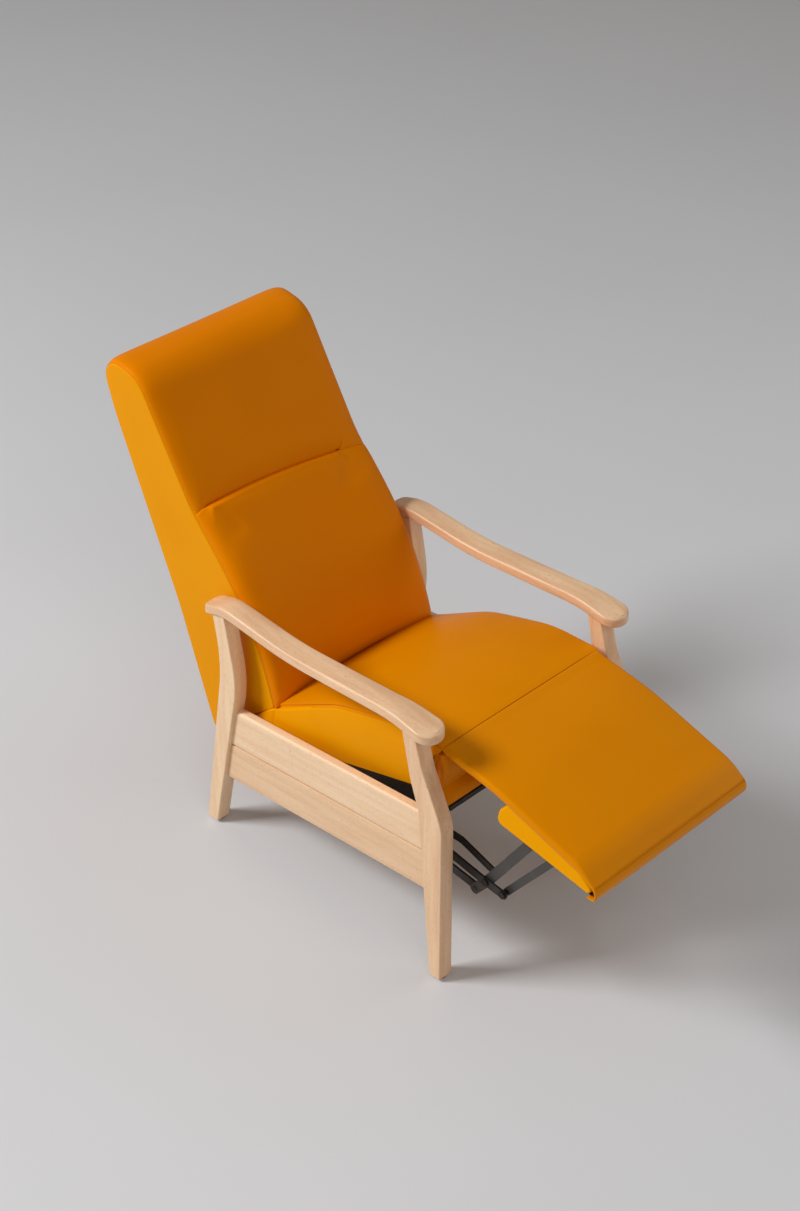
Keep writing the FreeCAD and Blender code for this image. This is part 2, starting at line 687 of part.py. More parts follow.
tilt_pin = stepped("tilt_pin", TILT_PIVOT, [
    ("-sizes.rail_inner + 0.2", "-sizes.plate_inner + sizes.pin_head", "sizes.tilt_pin_radius"),
    ("-sizes.base_plate_inner", "-sizes.plate_outer - sizes.face_gap", "sizes.tilt_pin_radius + 4"),
    ("-sizes.plate_inner + sizes.face_gap", "-sizes.plate_inner + sizes.pin_head", "sizes.pin_head_radius"),
])
keep(group("seat_hinge_pins", [tilt_pin, mirrored("tilt_pin_right", tilt_pin)]))

# Seat: plywood panel, wood rail, cushion, padded front and the steel bar below it
panel_top = -(size("seat_bottom") - size("seat_panel_thickness"))
panel_bottom = -size("seat_bottom")
rail_face = size("band_step") + size("band_thickness")
rail_back = rail_face + size("front_rail_thickness")
band_bottom = -size("band_bottom_drop")


def seat_outline(points):
    """Corners given along and square to the seat, with their radii."""
    return [(on_seat(rearward, up), radius) for rearward, up, radius in points]


keep(padded("seat_panel", seat_outline([
    (rail_back, panel_bottom, 0.0), (size("seat_depth"), panel_bottom, 0.0),
    (size("seat_depth"), panel_top, 0.0), (rail_back, panel_top, 0.0),
]), "2 * sizes.plate_inner", "-sizes.plate_inner"))
keep(padded("seat_front_rail", seat_outline([
    (rail_face, band_bottom, 0.0), (rail_back, band_bottom, 0.0),
    (rail_back, panel_top, 0.0), (rail_face, panel_top, 0.0),
]), "2 * sizes.first_layer", "-sizes.first_layer"))
keep(padded("seat_front_bar", seat_outline([
    (size("band_toe"), band_bottom - size("front_bar_height"), 2.0),
    (size("band_toe") + size("front_bar_depth"), band_bottom - size("front_bar_height"), 2.0),
    (size("band_toe") + size("front_bar_depth"), band_bottom, 2.0), (size("band_toe"), band_bottom, 2.0),
]), "2 * sizes.first_layer", "-sizes.first_layer"))
bead_room = rod("bead_room", SEAM, "-sizes.frame_half_width", "sizes.frame_half_width",
                "sizes.seam_bead_radius + sizes.seam_gap")
BAND_LIP = 12.0
BAND_SET_BACK = 12.0
band = padded("seat_front_blank", seat_outline([
    (BAND_SET_BACK, -BAND_LIP, 0.0), (BAND_SET_BACK + size("band_thickness"), -BAND_LIP, 0.0),
    (rail_face, -size("band_seam_drop"), 0.0), (rail_face - 10.0, band_bottom, 0.0),
    (size("band_toe"), band_bottom, 5.0), (size("band_step"), -size("band_seam_drop"), 12.0),
]), "2 * sizes.foot_half_width", "-sizes.foot_half_width")
keep(cut("seat_front_band", band, [bead_room]))


def seat_section(across):
    """Side view of the seat cushion at a distance across the chair."""
    share = across / size("seat_half_width")
    lift = size("seat_crown") * (1 - share * share)
    crease = (size("seat_crease_depth"), -size("seat_crease_drop"))
    front = (36.0, size("seat_front_rise") + 0.6 * lift)
    band_top = (BAND_SET_BACK + size("band_thickness"), -BAND_LIP + 0.2)
    spots = [
        [(rail_face - 2, panel_top), (size("seat_depth"), panel_top)],
        [(size("seat_depth"), panel_top), (size("seat_depth"), -size("seat_rear_drop"))],
        [(size("seat_depth"), -size("seat_rear_drop")), crease],
        [crease, (300.0, size("seat_mid_rise") + lift), front],
        [front, (18.0, size("seat_front_rise") - 2 + 0.4 * lift), (6.0, 12.0)],
        [(6.0, 12.0), (11.0, -4.0)],
        [(11.0, -4.0), band_top],
        [band_top, (rail_face - 2, panel_top)],
    ]
    return wire_at(across, [[on_seat(*spot) for spot in edge] for edge in spots])


seat_half = size("seat_half_width")
cushion = lofted("seat_cushion_blank", [seat_section(share * seat_half) for share in (-1, -0.5, 0, 0.5, 1)])
hinge_room = padded("hinge_room", seat_outline([
    (size("seat_crease_depth") - 12, panel_top - 5, 0.0), (size("seat_depth") + 5, panel_top - 5, 0.0),
    (size("seat_depth") + 5, 0.0, 0.0), (size("seat_crease_depth") - 12, 0.0, 0.0),
]), "sizes.seat_half_width + 1 - sizes.stile_outer + sizes.hinge_slot", "-sizes.seat_half_width - 1")
keep(cut("seat_cushion", cushion, [bead_room, hinge_room, mirrored("hinge_room_right", hinge_room)]))

# Seat plates carry the link pivots, the seat hinge and the hinge of the back
DRIVE_PIVOT = on_seat(size("drive_pivot_behind"), -size("drive_pivot_drop"))
FRONT_PIVOT = on_seat(size("front_pivot_behind"), -size("front_pivot_drop"))
REAR_PIVOT = on_seat(size("rear_pivot_behind"), -size("rear_pivot_drop"))
RECLINE_PIVOT = on_seat(size("recline_pivot_behind"), -size("recline_pivot_drop"))
ear = size("hinge_ear_radius")
edge_room = size("plate_edge")
recline_s, recline_h = size("recline_pivot_behind"), -size("recline_pivot_drop")
tilt_s, tilt_h = size("tilt_pivot_behind"), -size("tilt_pivot_drop")
drive_s, drive_h = size("drive_pivot_behind"), -size("drive_pivot_drop")
rear_s, rear_h = size("rear_pivot_behind"), -size("rear_pivot_drop")
pair("seat_plate", padded("seat_plate", seat_outline([
    (drive_s - 16, panel_top, 4.0), (recline_s - ear, panel_top, 12.0),
    (recline_s - ear, recline_h + ear, ear - 0.5), (recline_s + ear, recline_h + ear, ear - 0.5),
    (tilt_s + edge_room, panel_top - 10, 20.0), (tilt_s + edge_room, tilt_h - edge_room, 18.0),
    (tilt_s - 60, tilt_h - edge_room, 40.0), (rear_s + 95, panel_bottom - 45, 40.0),
    (rear_s + 24, rear_h - edge_room + 4, 14.0), (rear_s - 14, rear_h - edge_room + 4, 14.0),
    (drive_s - 16, drive_h - 22, 20.0),
]), "sizes.plate_thickness", "-sizes.plate_outer", [
    (DRIVE_PIVOT, "pin_hole"), (FRONT_PIVOT, "pin_hole"), (REAR_PIVOT, "pin_hole"),
    (RECLINE_PIVOT, "pin_hole"), (TILT_PIVOT, "tilt_pin_hole"),
]))


def plate_pin(label, centre, layer):
    """A shoulder pin that holds a link off the seat plate."""
    return stepped(label, centre, [
        ("-sizes.plate_outer - sizes.pin_head", "-sizes.plate_outer", "sizes.pin_head_radius"),
        ("-sizes.plate_outer", "-sizes.%s + sizes.link_thickness + 1" % layer, "sizes.pin_radius"),
        ("-sizes.plate_inner", "-sizes.%s - sizes.face_gap" % layer, "sizes.shoulder_radius"),
    ])


plate_pins = [plate_pin("drive_pivot_pin", DRIVE_PIVOT, "third_layer"),
              plate_pin("front_pivot_pin", FRONT_PIVOT, "first_layer"),
              plate_pin("rear_pivot_pin", REAR_PIVOT, "third_layer")]
keep(group("link_pivot_pins", plate_pins + [mirrored(pin.Name + "_right", pin) for pin in plate_pins]))
recline_pin = stepped("recline_pin", RECLINE_PIVOT, [
    ("-sizes.plate_outer - sizes.pin_head", "-sizes.plate_outer", "sizes.pin_head_radius"),
    ("-sizes.plate_outer", "-sizes.stile_outer + 1.5", "sizes.pin_radius"),
    ("-sizes.plate_inner", "-sizes.hinge_outer - sizes.face_gap", "sizes.shoulder_radius"),
])
keep(group("back_hinge_pins", [recline_pin, mirrored("recline_pin_right", recline_pin)]))


# Links of the footrest: flat steel bars in layers, each layer clear of the next
def strip(points, half):
    """Corners of a bar of even width along a line of points, with round ends."""
    spots = [V(y, z, 0) for y, z in points]
    left, right = [], []
    for index, spot in enumerate(spots):
        ahead = (spots[min(index + 1, len(spots) - 1)] - spots[max(index, 1) - 1 if index else 0])
        if 0 < index < len(spots) - 1:
            first = spot - spots[index - 1]
            second = spots[index + 1] - spot
            first.normalize()
            second.normalize()
            ahead = first + second
        ahead.normalize()
        square = V(-ahead.y, ahead.x, 0)
        at = spot
        if index == 0:
            at = spot - ahead * half
        if index == len(spots) - 1:
            at = spot + ahead * half
        end = index in (0, len(spots) - 1)
        radius = half * 0.96 if end else half
        left.append(((at + square * half).x, (at + square * half).y, radius))
        right.append(((at - square * half).x, (at - square * half).y, radius))
    return [((y, z), radius) for y, z, radius in left + right[::-1]]


CROSS_PIN = on_seat(-size("cross_pin_ahead"), -size("cross_pin_drop"))
END_PIN = on_seat(-size("end_pin_ahead"), -size("end_pin_drop"))
HEEL_PIN = on_seat(size("heel_pin_behind"), -size("heel_pin_drop"))
DRIVE_PIN = on_seat(-size("drive_pin_ahead"), -size("drive_pin_drop"))
DRIVE_BEND = on_seat(size("drive_bend_behind"), -size("drive_bend_drop"))
LONG_FOOT = on_foot(size("long_bar_foot_out"), -size("long_bar_foot_drop"))
SHORT_FOOT = on_foot(size("short_bar_foot_out"), -size("short_bar_foot_drop"))


def link(name, points, half, layer, holes, studs):
    """A link of one layer; studs reach out through the gap towards the layer outside it."""
    bar = padded(name + "_bar", strip(points, size(half)), "sizes.link_thickness", "-sizes." + layer,
                 [(hole, "pin_hole") for hole in holes])
    if not studs:
        return pair(name, bar)
    heads = [rod("%s_stud_%d" % (name, i), stud, "-sizes.%s - 0.85 * sizes.link_gap" % layer, "-sizes." + layer,
                 "sizes.shoulder_radius - 1") for i, stud in enumerate(studs)]
    return pair(name, fuse(name, [bar] + heads))


link("front_link", [FRONT_PIVOT, CROSS_PIN, END_PIN], "link_half_width", "first_layer",
     [FRONT_PIVOT, CROSS_PIN, END_PIN], [])
link("long_bar", [HEEL_PIN, CROSS_PIN, LONG_FOOT], "bar_half_width", "second_layer",
     [CROSS_PIN], [HEEL_PIN, LONG_FOOT])
link("short_bar", [END_PIN, SHORT_FOOT], "short_bar_half_width", "third_layer", [END_PIN], [SHORT_FOOT])
link("rear_link", [REAR_PIVOT, HEEL_PIN], "link_half_width", "third_layer", [REAR_PIVOT], [HEEL_PIN])
link("drive_link", [DRIVE_PIVOT, DRIVE_BEND, DRIVE_PIN], "drive_half_width", "third_layer",
     [DRIVE_PIVOT], [DRIVE_PIN])
cross_pin = stepped("cross_pin", CROSS_PIN, [
    ("-sizes.first_layer - sizes.pin_head", "-sizes.first_layer", "sizes.pin_head_radius"),
    ("-sizes.first_layer", "-sizes.second_layer + sizes.link_thickness + 1.2", "sizes.pin_radius"),
    ("-sizes.first_layer + sizes.link_thickness", "-sizes.second_layer - sizes.face_gap", "sizes.shoulder_radius"),
])
end_pin = stepped("end_pin", END_PIN, [
    ("-sizes.first_layer - sizes.pin_head", "-sizes.first_layer", "sizes.pin_head_radius"),
    ("-sizes.first_layer", "-sizes.third_layer + sizes.link_thickness + 1", "sizes.pin_radius"),
    ("-sizes.first_layer + sizes.link_thickness", "-sizes.third_layer - sizes.face_gap", "sizes.shoulder_radius"),
])
pair("front_link_pins", group("front_link_pins", [cross_pin, end_pin]))

# Footrest: a sewn flap over a padded board, with a steel bracket each side
thick = size("flap_thickness")
bead = size("seam_bead_radius")
rise_out, rise = size("flap_rise_out"), size("flap_rise")
shoulder_out, shoulder = size("flap_shoulder_out"), size("flap_shoulder_rise")
nose_out, nose_up = size("flap_length"), -size("flap_nose_drop")
hem_out, hem_up = size("flap_hem_out"), -size("flap_hem_drop")
HEM_THICKNESS = 10.0


def flap_under(out):
    """Height of the underside of the flap, out from the front seam."""
    share = (out - rise_out) / (shoulder_out - rise_out)
    return rise - thick - (rise - shoulder) * share * share


def flap_section(across):
    """Side view of the flap at a distance across the chair."""
    share = across / size("foot_half_width")
    lift = size("flap_crown") * (1 - share * share)
    middle = (rise_out + shoulder_out) / 2
    round_start = (bead * 0.3, bead * 0.954)
    round_end = (bead * 0.643, -bead * 0.766)
    inner_shoulder = (shoulder_out - 6, flap_under(shoulder_out - 6))
    inner_nose = (nose_out - HEM_THICKNESS - 3, nose_up - 3)
    spots = [
        [round_start, (-bead * 0.588, bead * 0.809), (-bead, 0.0)],
        [(-bead, 0.0), (-bead * 0.423, -bead * 0.906), round_end],
        [round_end, (rise_out, flap_under(rise_out))],
        [(rise_out, flap_under(rise_out)), (middle, flap_under(middle)), inner_shoulder],
        [inner_shoulder, (between(inner_shoulder, inner_nose, 0.62)[0],
                          between(inner_shoulder, inner_nose, 0.62)[1] + 5), inner_nose],
        [inner_nose, (hem_out - HEM_THICKNESS, hem_up)],
        [(hem_out - HEM_THICKNESS, hem_up), (hem_out, hem_up)],
        [(hem_out, hem_up), (nose_out + 0.5, between((0, hem_up), (0, nose_up), 0.5)[1]), (nose_out, nose_up)],
        [(nose_out, nose_up), (nose_out - 24, nose_up + 20 + 0.2 * lift), (shoulder_out, shoulder + 0.5 * lift)],
        [(shoulder_out, shoulder + 0.5 * lift), (middle, flap_under(middle) + thick + lift),
         (rise_out, rise + 0.8 * lift)],
        [(rise_out, rise + 0.8 * lift), round_start],
    ]
    return wire_at(across, [[on_foot(*spot) for spot in edge] for edge in spots])


foot_half = size("foot_half_width")
keep(lofted("leg_flap", [flap_section(share * foot_half) for share in (-1, -0.5, 0, 0.5, 1)]))


def foot_outline(points):
    """Corners given along and square to the footrest, with their radii."""
    return [(on_foot(out, up), radius) for out, up, radius in points]


heel_out, toe_out = size("pad_heel_out"), size("pad_toe_out")


def pad_under(out):
    """Height of the underside of the padded board."""
    share = (out - heel_out) / (toe_out - heel_out)
    return -size("pad_heel_drop") + share * (size("pad_heel_drop") - size("pad_toe_drop"))


SKIN = size("soft_gap")
pad_blank = padded("pad_blank", foot_outline([
    (heel_out + 2, pad_under(heel_out + 2), size("pad_round")),
    (toe_out, pad_under(toe_out), 5.0), (toe_out + 5, pad_under(toe_out) + 9, 5.0),
    (shoulder_out - 8, flap_under(shoulder_out - 8) - 3 * SKIN, 20.0),
    ((rise_out + shoulder_out) / 2, flap_under((rise_out + shoulder_out) / 2) - SKIN, 0.0),
    (heel_out + 20, flap_under(heel_out + 20) - SKIN, 10.0), (heel_out, -40.0, 10.0),
]), "2 * sizes.pad_half_width", "-sizes.pad_half_width")
board_ends = (heel_out + 18, toe_out - 20)
board_outline = foot_outline([
    (board_ends[0], pad_under(board_ends[0]), 0.0), (board_ends[1], pad_under(board_ends[1]), 0.0),
    (board_ends[1], pad_under(board_ends[1]) + size("board_thickness"), 0.0),
    (board_ends[0], pad_under(board_ends[0]) + size("board_thickness"), 0.0),
])
board = padded("footrest_board", board_outline, "2 * (sizes.pad_half_width - sizes.board_margin)",
               "-(sizes.pad_half_width - sizes.board_margin)")
keep(board)
well = padded("link_well", foot_outline([
    (heel_out + 24, pad_under(heel_out + 24) - 20, 0.0), (toe_out - 40, pad_under(toe_out - 40) - 20, 0.0),
    (toe_out - 40, pad_under(toe_out - 40) + size("link_well"), 0.0),
    (heel_out + 24, pad_under(heel_out + 24) + size("link_well"), 0.0),
]), "sizes.first_layer - sizes.fourth_layer + sizes.link_thickness + 4", "-sizes.first_layer")
keep(cut("footrest_pad", pad_blank, [board, well, mirrored("link_well_right", well)]))
clip_at = (toe_out - size("clip_width"), toe_out - 1)
keep(padded("hem_clip", foot_outline([
    (clip_at[0], pad_under(clip_at[0]) - size("clip_thickness"), 1.0),
    (clip_at[1] + 8, pad_under(clip_at[1]) - size("clip_thickness"), 1.0),
    (clip_at[1] + 8, pad_under(clip_at[1]) - SKIN, 0.0), (clip_at[0], pad_under(clip_at[0]) - SKIN, 0.0),
]), "2 * (sizes.pad_half_width - 4)", "-(sizes.pad_half_width - 4)"))
long_out, short_out = size("long_bar_foot_out"), size("short_bar_foot_out")
edge = size("bracket_edge")
bracket_plate = padded("bracket_plate", foot_outline([
    (long_out - edge - 4, pad_under(long_out - edge - 4), 2.0),
    (long_out - edge, -size("long_bar_foot_drop") - edge, 10.0),
    (short_out + edge, -size("short_bar_foot_drop") - edge, 10.0),
    (short_out + edge + 4, pad_under(short_out + edge + 4), 2.0),
]), "sizes.link_thickness", "-sizes.fourth_layer")
flange_ends = (long_out - edge - 3, short_out + edge + 3)
bracket_flange = padded("bracket_flange", foot_outline([
    (flange_ends[0], pad_under(flange_ends[0]) - 4, 0.0), (flange_ends[1], pad_under(flange_ends[1]) - 4, 0.0),
    (flange_ends[1], pad_under(flange_ends[1]), 0.0), (flange_ends[0], pad_under(flange_ends[0]), 0.0),
]), "sizes.link_thickness + sizes.bracket_flange", "-sizes.fourth_layer")
long_stud = rod("long_bar_stud", LONG_FOOT, "-sizes.second_layer + sizes.link_thickness + 0.3",
                "-sizes.fourth_layer", "sizes.shoulder_radius - 1")
short_stud = rod("short_bar_stud", SHORT_FOOT, "-sizes.third_layer + sizes.link_thickness + 0.3",
                 "-sizes.fourth_layer", "sizes.shoulder_radius - 1")
pair("footrest_bracket", fuse("bracket", [bracket_plate, bracket_flange, long_stud, short_stud]))


# Back: a wood frame with straps, two cushions, side panels and a rear panel
def back_outline(points):
    """Corners given up and out from the rear face of the back, with their radii."""
    return [(on_back(up, out), radius) for up, out, radius in points]


def bar_on_back(bottom, top, inner, outer):
    """Corners of a rectangle on the back."""
    return back_outline([(bottom, inner, 0.0), (top, inner, 0.0), (top, outer, 0.0), (bottom, outer, 0.0)])


panel = size("rear_panel_thickness")
stile_front = panel + size("stile_depth")
strap_front = stile_front + size("strap_thickness")
stile_low, stile_high = size("stile_bottom"), size("stile_top")
toe_up, toe_forward = size("back_toe_up"), size("back_toe_out")
fold_up, fold_out = size("fold_up"), size("fold_out")
head_up, head_out = size("head_up"), size("head_out")
back_top = size("back_height")
pair("back_side_panel", padded("back_side_panel", back_outline([
    (toe_up, toe_forward, 8.0), (size("lumbar_up"), size("lumbar_out"), size("lumbar_round")),
    (fold_up, fold_out, 0.0), (head_up, head_out, size("head_round")),
    (back_top, 0.0, size("crown_round")), (0.0, 0.0, 12.0),
]), "sizes.side_panel_thickness", "-sizes.back_half_width"))
keep(padded("back_rear_panel", bar_on_back(12.0, size("rear_panel_height"), 0.0, panel),
            "2 * (sizes.back_inner - sizes.soft_gap)", "-(sizes.back_inner - sizes.soft_gap)"))
pair("back_stile", padded("back_stile", bar_on_back(stile_low, stile_high, panel, stile_front),
                          "sizes.stile_width", "-sizes.stile_outer"))
for name, low in (("back_bottom_rail", stile_low), ("back_top_rail", stile_high - size("back_rail_height"))):
    keep(padded(name, bar_on_back(low, low + size("back_rail_height"), panel, stile_front),
                "2 * (sizes.stile_outer - sizes.stile_width)", "-(sizes.stile_outer - sizes.stile_width)"))
straps = []
strap_count = int(size("strap_count"))
strap_step = (stile_high - stile_low - size("strap_height")) / (strap_count - 1)
for number in range(strap_count):
    low = stile_low + number * strap_step
    straps.append(padded("strap_%d" % number, bar_on_back(low, low + size("strap_height"), stile_front, strap_front),
                         "2 * sizes.stile_outer", "-sizes.stile_outer"))
keep(group("back_straps", straps))
hinge_on_back = (230.0, stile_front - 20)
pair("back_hinge_bracket", padded("back_hinge_bracket", strip([RECLINE_PIVOT, on_back(*hinge_on_back)], ear),
                                  "sizes.plate_thickness", "-sizes.hinge_outer", [(RECLINE_PIVOT, "pin_hole")]))
rest = strap_front + SKIN
toe_slope = toe_up / toe_forward


def lumbar_section(across):
    """Side view of the lumbar cushion at a distance across the chair."""
    share = across / cushion_half
    lift = size("back_crown") * (1 - share * share)
    toe = (toe_up + 1, toe_forward - 1)
    seam = (fold_up - 5, fold_out - size("fold_depth"))
    shoulder_top = (fold_up - 14, fold_out + 4 + 0.8 * lift)
    belly = (size("lumbar_up") - 4, size("lumbar_out") - 18.5 + lift)
    spots = [
        [toe, (toe_slope * rest + 1.5, rest)],
        [(toe_slope * rest + 1.5, rest), (fold_up - 5, rest)],
        [(fold_up - 5, rest), seam],
        [seam, (fold_up - 9, fold_out - 3 + 0.4 * lift), shoulder_top],
        [shoulder_top, belly, toe],
    ]
    return wire_at(across, [[on_back(*spot) for spot in edge] for edge in spots])


def head_section(across):
    """Side view of the head cushion at a distance across the chair."""
    share = across / cushion_half
    lift = size("back_crown") * (1 - share * share)
    seam = (fold_up - 5 + 3 * SKIN, fold_out - size("fold_depth"))
    low_front = (fold_up + 10, fold_out - 2 + 0.8 * lift)
    high_front = (head_up - 24, head_out + 5 + lift)
    brow = (head_up + 14, head_out - 22 + 0.5 * lift)
    crown_front = (back_top - 32, 40.0)
    crown_rear = (back_top - 62, 0.0)
    panel_end = size("rear_panel_height") + SKIN
    spots = [
        [(fold_up - 5 + 3 * SKIN, rest), seam],
        [seam, (fold_up + 2, fold_out - 7 + 0.4 * lift), low_front],
        [low_front, between(low_front, high_front, 0.5)[:1] + (between(low_front, high_front, 0.5)[1] + 2,),
         high_front],
        [high_front, (head_up - 2, head_out - 7 + 0.8 * lift), brow],
        [brow, crown_front],
        [crown_front, (back_top - 39, 11.0), crown_rear],
        [crown_rear, (panel_end, 0.0)],
        [(panel_end, 0.0), (panel_end, panel + SKIN)],
        [(panel_end, panel + SKIN), (stile_high + SKIN, panel + SKIN)],
        [(stile_high + SKIN, panel + SKIN), (stile_high + SKIN, rest)],
        [(stile_high + SKIN, rest), (fold_up - 5 + 3 * SKIN, rest)],
    ]
    return wire_at(across, [[on_back(*spot) for spot in edge] for edge in spots])


cushion_half = size("stile_outer") - 0.5
cushion_places = [share * cushion_half for share in (-1, -0.5, 0, 0.5, 1)]
keep(lofted("back_lumbar_cushion", [lumbar_section(place) for place in cushion_places]))
keep(lofted("back_head_cushion", [head_section(place) for place in cushion_places]))

# Check every piece, then write each one to its own file
doc.recompute()
for made in doc.Objects:
    if "Invalid" in made.State or "Error" in made.State:
        raise RuntimeError("%s failed: %s" % (made.Label, made.State))
os.makedirs("parts", exist_ok=True)
for piece in parts:
    shape = piece.Shape
    if shape.isNull() or not shape.isValid() or not shape.Solids or shape.Volume <= 0:
        raise RuntimeError("%s has no sound solid" % piece.Label)
    shape.exportStep(os.path.join("parts", piece.Label + ".step"))
print("%d pieces written" % len(parts))
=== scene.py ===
"""Care armchair: the finished look of a reclining chair with beech side frames and mustard vinyl upholstery.

Lengths are in metres. X runs across the chair, Y from front to rear and Z up.
"""

import bmesh
import bpy
import numpy as np
from mathutils import Matrix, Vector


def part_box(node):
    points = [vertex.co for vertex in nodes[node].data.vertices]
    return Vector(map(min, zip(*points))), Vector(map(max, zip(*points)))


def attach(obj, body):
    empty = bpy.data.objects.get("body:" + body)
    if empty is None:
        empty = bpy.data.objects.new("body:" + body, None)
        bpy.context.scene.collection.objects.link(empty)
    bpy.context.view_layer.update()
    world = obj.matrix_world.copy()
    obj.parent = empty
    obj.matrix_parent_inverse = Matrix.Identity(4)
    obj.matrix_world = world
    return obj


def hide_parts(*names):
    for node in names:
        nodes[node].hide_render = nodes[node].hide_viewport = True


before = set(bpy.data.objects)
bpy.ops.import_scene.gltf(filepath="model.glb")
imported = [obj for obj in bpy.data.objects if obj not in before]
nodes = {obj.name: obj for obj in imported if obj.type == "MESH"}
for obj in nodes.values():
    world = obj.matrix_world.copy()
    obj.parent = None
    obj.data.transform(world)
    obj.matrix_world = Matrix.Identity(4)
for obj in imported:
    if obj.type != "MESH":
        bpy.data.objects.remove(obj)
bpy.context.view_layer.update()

# Legs: four beech legs, sawn to shape from a board, with softened edges.
# Each one stands on a glide and is fitted into the underside of its armrest.
FRONT_OF_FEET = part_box("left_front_leg")[0].y
LEG_EDGE = 0.003
LEG_CORNER = 0.0036
LEG_SUNK = 0.004
ARM_THICKNESS = 0.026
ARM_TOP_CORNERS = [(0.028, 0.682), (0.130, 0.693), (0.470, 0.666), (0.680, 0.680), (0.746, 0.658)]
ARM_TOP_RADII = [0.300, 0.900, 0.140]
BEECH_PALE, BEECH_DEEP, BEECH_FLECK = "EFC89F", "DFB189", "B4855A"


def unit(vectors):
    """The same directions with length one."""
    return vectors / np.linalg.norm(vectors, axis=-1, keepdims=True)


def run_along(points):
    """How far along a line each of its points lies."""
    return np.append(0, np.cumsum(np.linalg.norm(np.diff(points, axis=0), axis=1)))


def along_line(where, run, points):
    """Points of a line at given distances along it, straight between its own points."""
    return np.stack([np.interp(where, run, line) for line in points.T], -1)


def soft_line(corners, radii, step=0.004, gap=0.012):
    """Points on a line through corners, each turned by a tangent arc of its radius.

    An arc of radius r at a corner that turns by w starts r * tan(w / 2) before it and ends as far after it.
    Straight runs get a point at least every gap.
    """
    corners = np.asarray(corners, float)
    stretches = [corners[:1]]
    for before, here, after, radius in zip(corners, corners[1:], corners[2:], radii):
        to_start, to_end = unit(before - here), unit(after - here)
        turn = np.pi - np.arccos(np.clip(to_start @ to_end, -1.0, 1.0))
        centre = here + unit(to_start + to_end) * radius / np.cos(turn / 2)
        spoke = here + to_start * radius * np.tan(turn / 2) - centre
        angle = np.linspace(0, turn, max(4, int(radius * turn / step)))[:, None]
        stretches.append(centre + spoke * np.cos(angle) - to_start * radius * np.sin(angle))
    stretches.append(corners[-1:])
    points = np.concatenate(stretches)
    run = run_along(points)
    extra = np.arange(gap, run[-1], gap)
    clear = np.abs(extra[:, None] - run).min(1) > 0.3 * gap
    where = np.sort(np.append(run, extra[clear]))
    return along_line(where, run, points)


def soft_loop(corners, radii, step=0.004, gap=0.012):
    """The same line closed into a loop, with a radius for every corner."""
    middle = np.mean([corners[-1], corners[0]], 0)
    return soft_line([middle, *corners, middle], radii, step, gap)[:-1]


def slab(outline, low, high, edge, steps=5, face_inset=1.15):
    """Rings of a board cut to a closed side-view outline, from low to high across the chair.

    Its edges are rounded: at the angle w a ring lies edge * (1 - cos w) inside the outline and
    edge * (1 - sin w) below the face. The flat face starts at face_inset * edge inside it.
    """
    ahead = unit(np.roll(outline, -1, 0) - outline)
    area = np.sum(outline[:, 0] * np.roll(outline[:, 1], -1) - outline[:, 1] * np.roll(outline[:, 0], -1))
    normal = np.sign(area) * np.stack([ahead[:, 1], -ahead[:, 0]], 1)
    before = np.roll(normal, 1, 0)
    mitre = (before + normal) / (1 + np.sum(before * normal, 1, keepdims=True))
    angle = np.linspace(np.pi / 2, 0, steps)
    inset = np.append(face_inset * edge, edge * (1 - np.cos(angle)))
    depth = np.append(0, edge * (1 - np.sin(angle)))
    inset = np.append(inset, inset[::-1])
    across = np.append(low + depth, high - depth[::-1])
    side = outline - mitre * inset[:, None, None]
    return np.concatenate([np.broadcast_to(across[:, None, None], side.shape[:2] + (1,)), side], 2)


def ring_faces(rings, around):
    """Quads between closed rings of points, and one flat face at each end."""
    index = np.arange(rings * around).reshape(rings, around)
    beside = np.roll(index, -1, 1)
    quads = np.stack([index[:-1], index[1:], beside[1:], beside[:-1]], -1).reshape(-1, 4)
    return quads.tolist() + [index[0].tolist(), index[-1].tolist()]


def colour(hex_code):
    """An sRGB hex value as linear RGBA: ((c + 0.055) / 1.055) ** 2.4 above 0.04045."""
    channels = np.array([int(hex_code[i:i + 2], 16) for i in (0, 2, 4)]) / 255
    linear = np.where(channels > 0.04045, ((channels + 0.055) / 1.055) ** 2.4, channels / 12.92)
    return (*linear.tolist(), 1.0)


def connect(tree, node, sockets, links):
    """Set socket values of a node and its incoming links."""
    for key, value in (sockets or {}).items():
        node.inputs[key].default_value = value
    for key, output in (links or {}).items():
        tree.links.new(output, node.inputs[key])
    return node


def add(tree, kind, sockets=None, links=None, **settings):
    """Add one node with its settings, socket values and incoming links."""
    node = tree.nodes.new("ShaderNode" + kind)
    for key, value in settings.items():
        setattr(node, key, value)
    return connect(tree, node, sockets, links)


def new_material(name):
    """A new material, its node tree, and the object coordinates that its patterns lie on."""
    material = bpy.data.materials.new(name)
    material.use_nodes = True
    tree = material.node_tree
    return material, tree, add(tree, "TexCoord").outputs["Object"]


def finished(material, sockets, tone=None, gloss=None, relief=None):
    """The material with its even values set and its tone, gloss and relief joined to its shader."""
    tree = material.node_tree
    parts = (("Base Color", tone, 2), ("Roughness", gloss, "Result"), ("Normal", relief, "Normal"))
    links = {key: node.outputs[output] for key, node, output in parts if node}
    connect(tree, tree.nodes["Principled BSDF"], sockets, links)
    return material


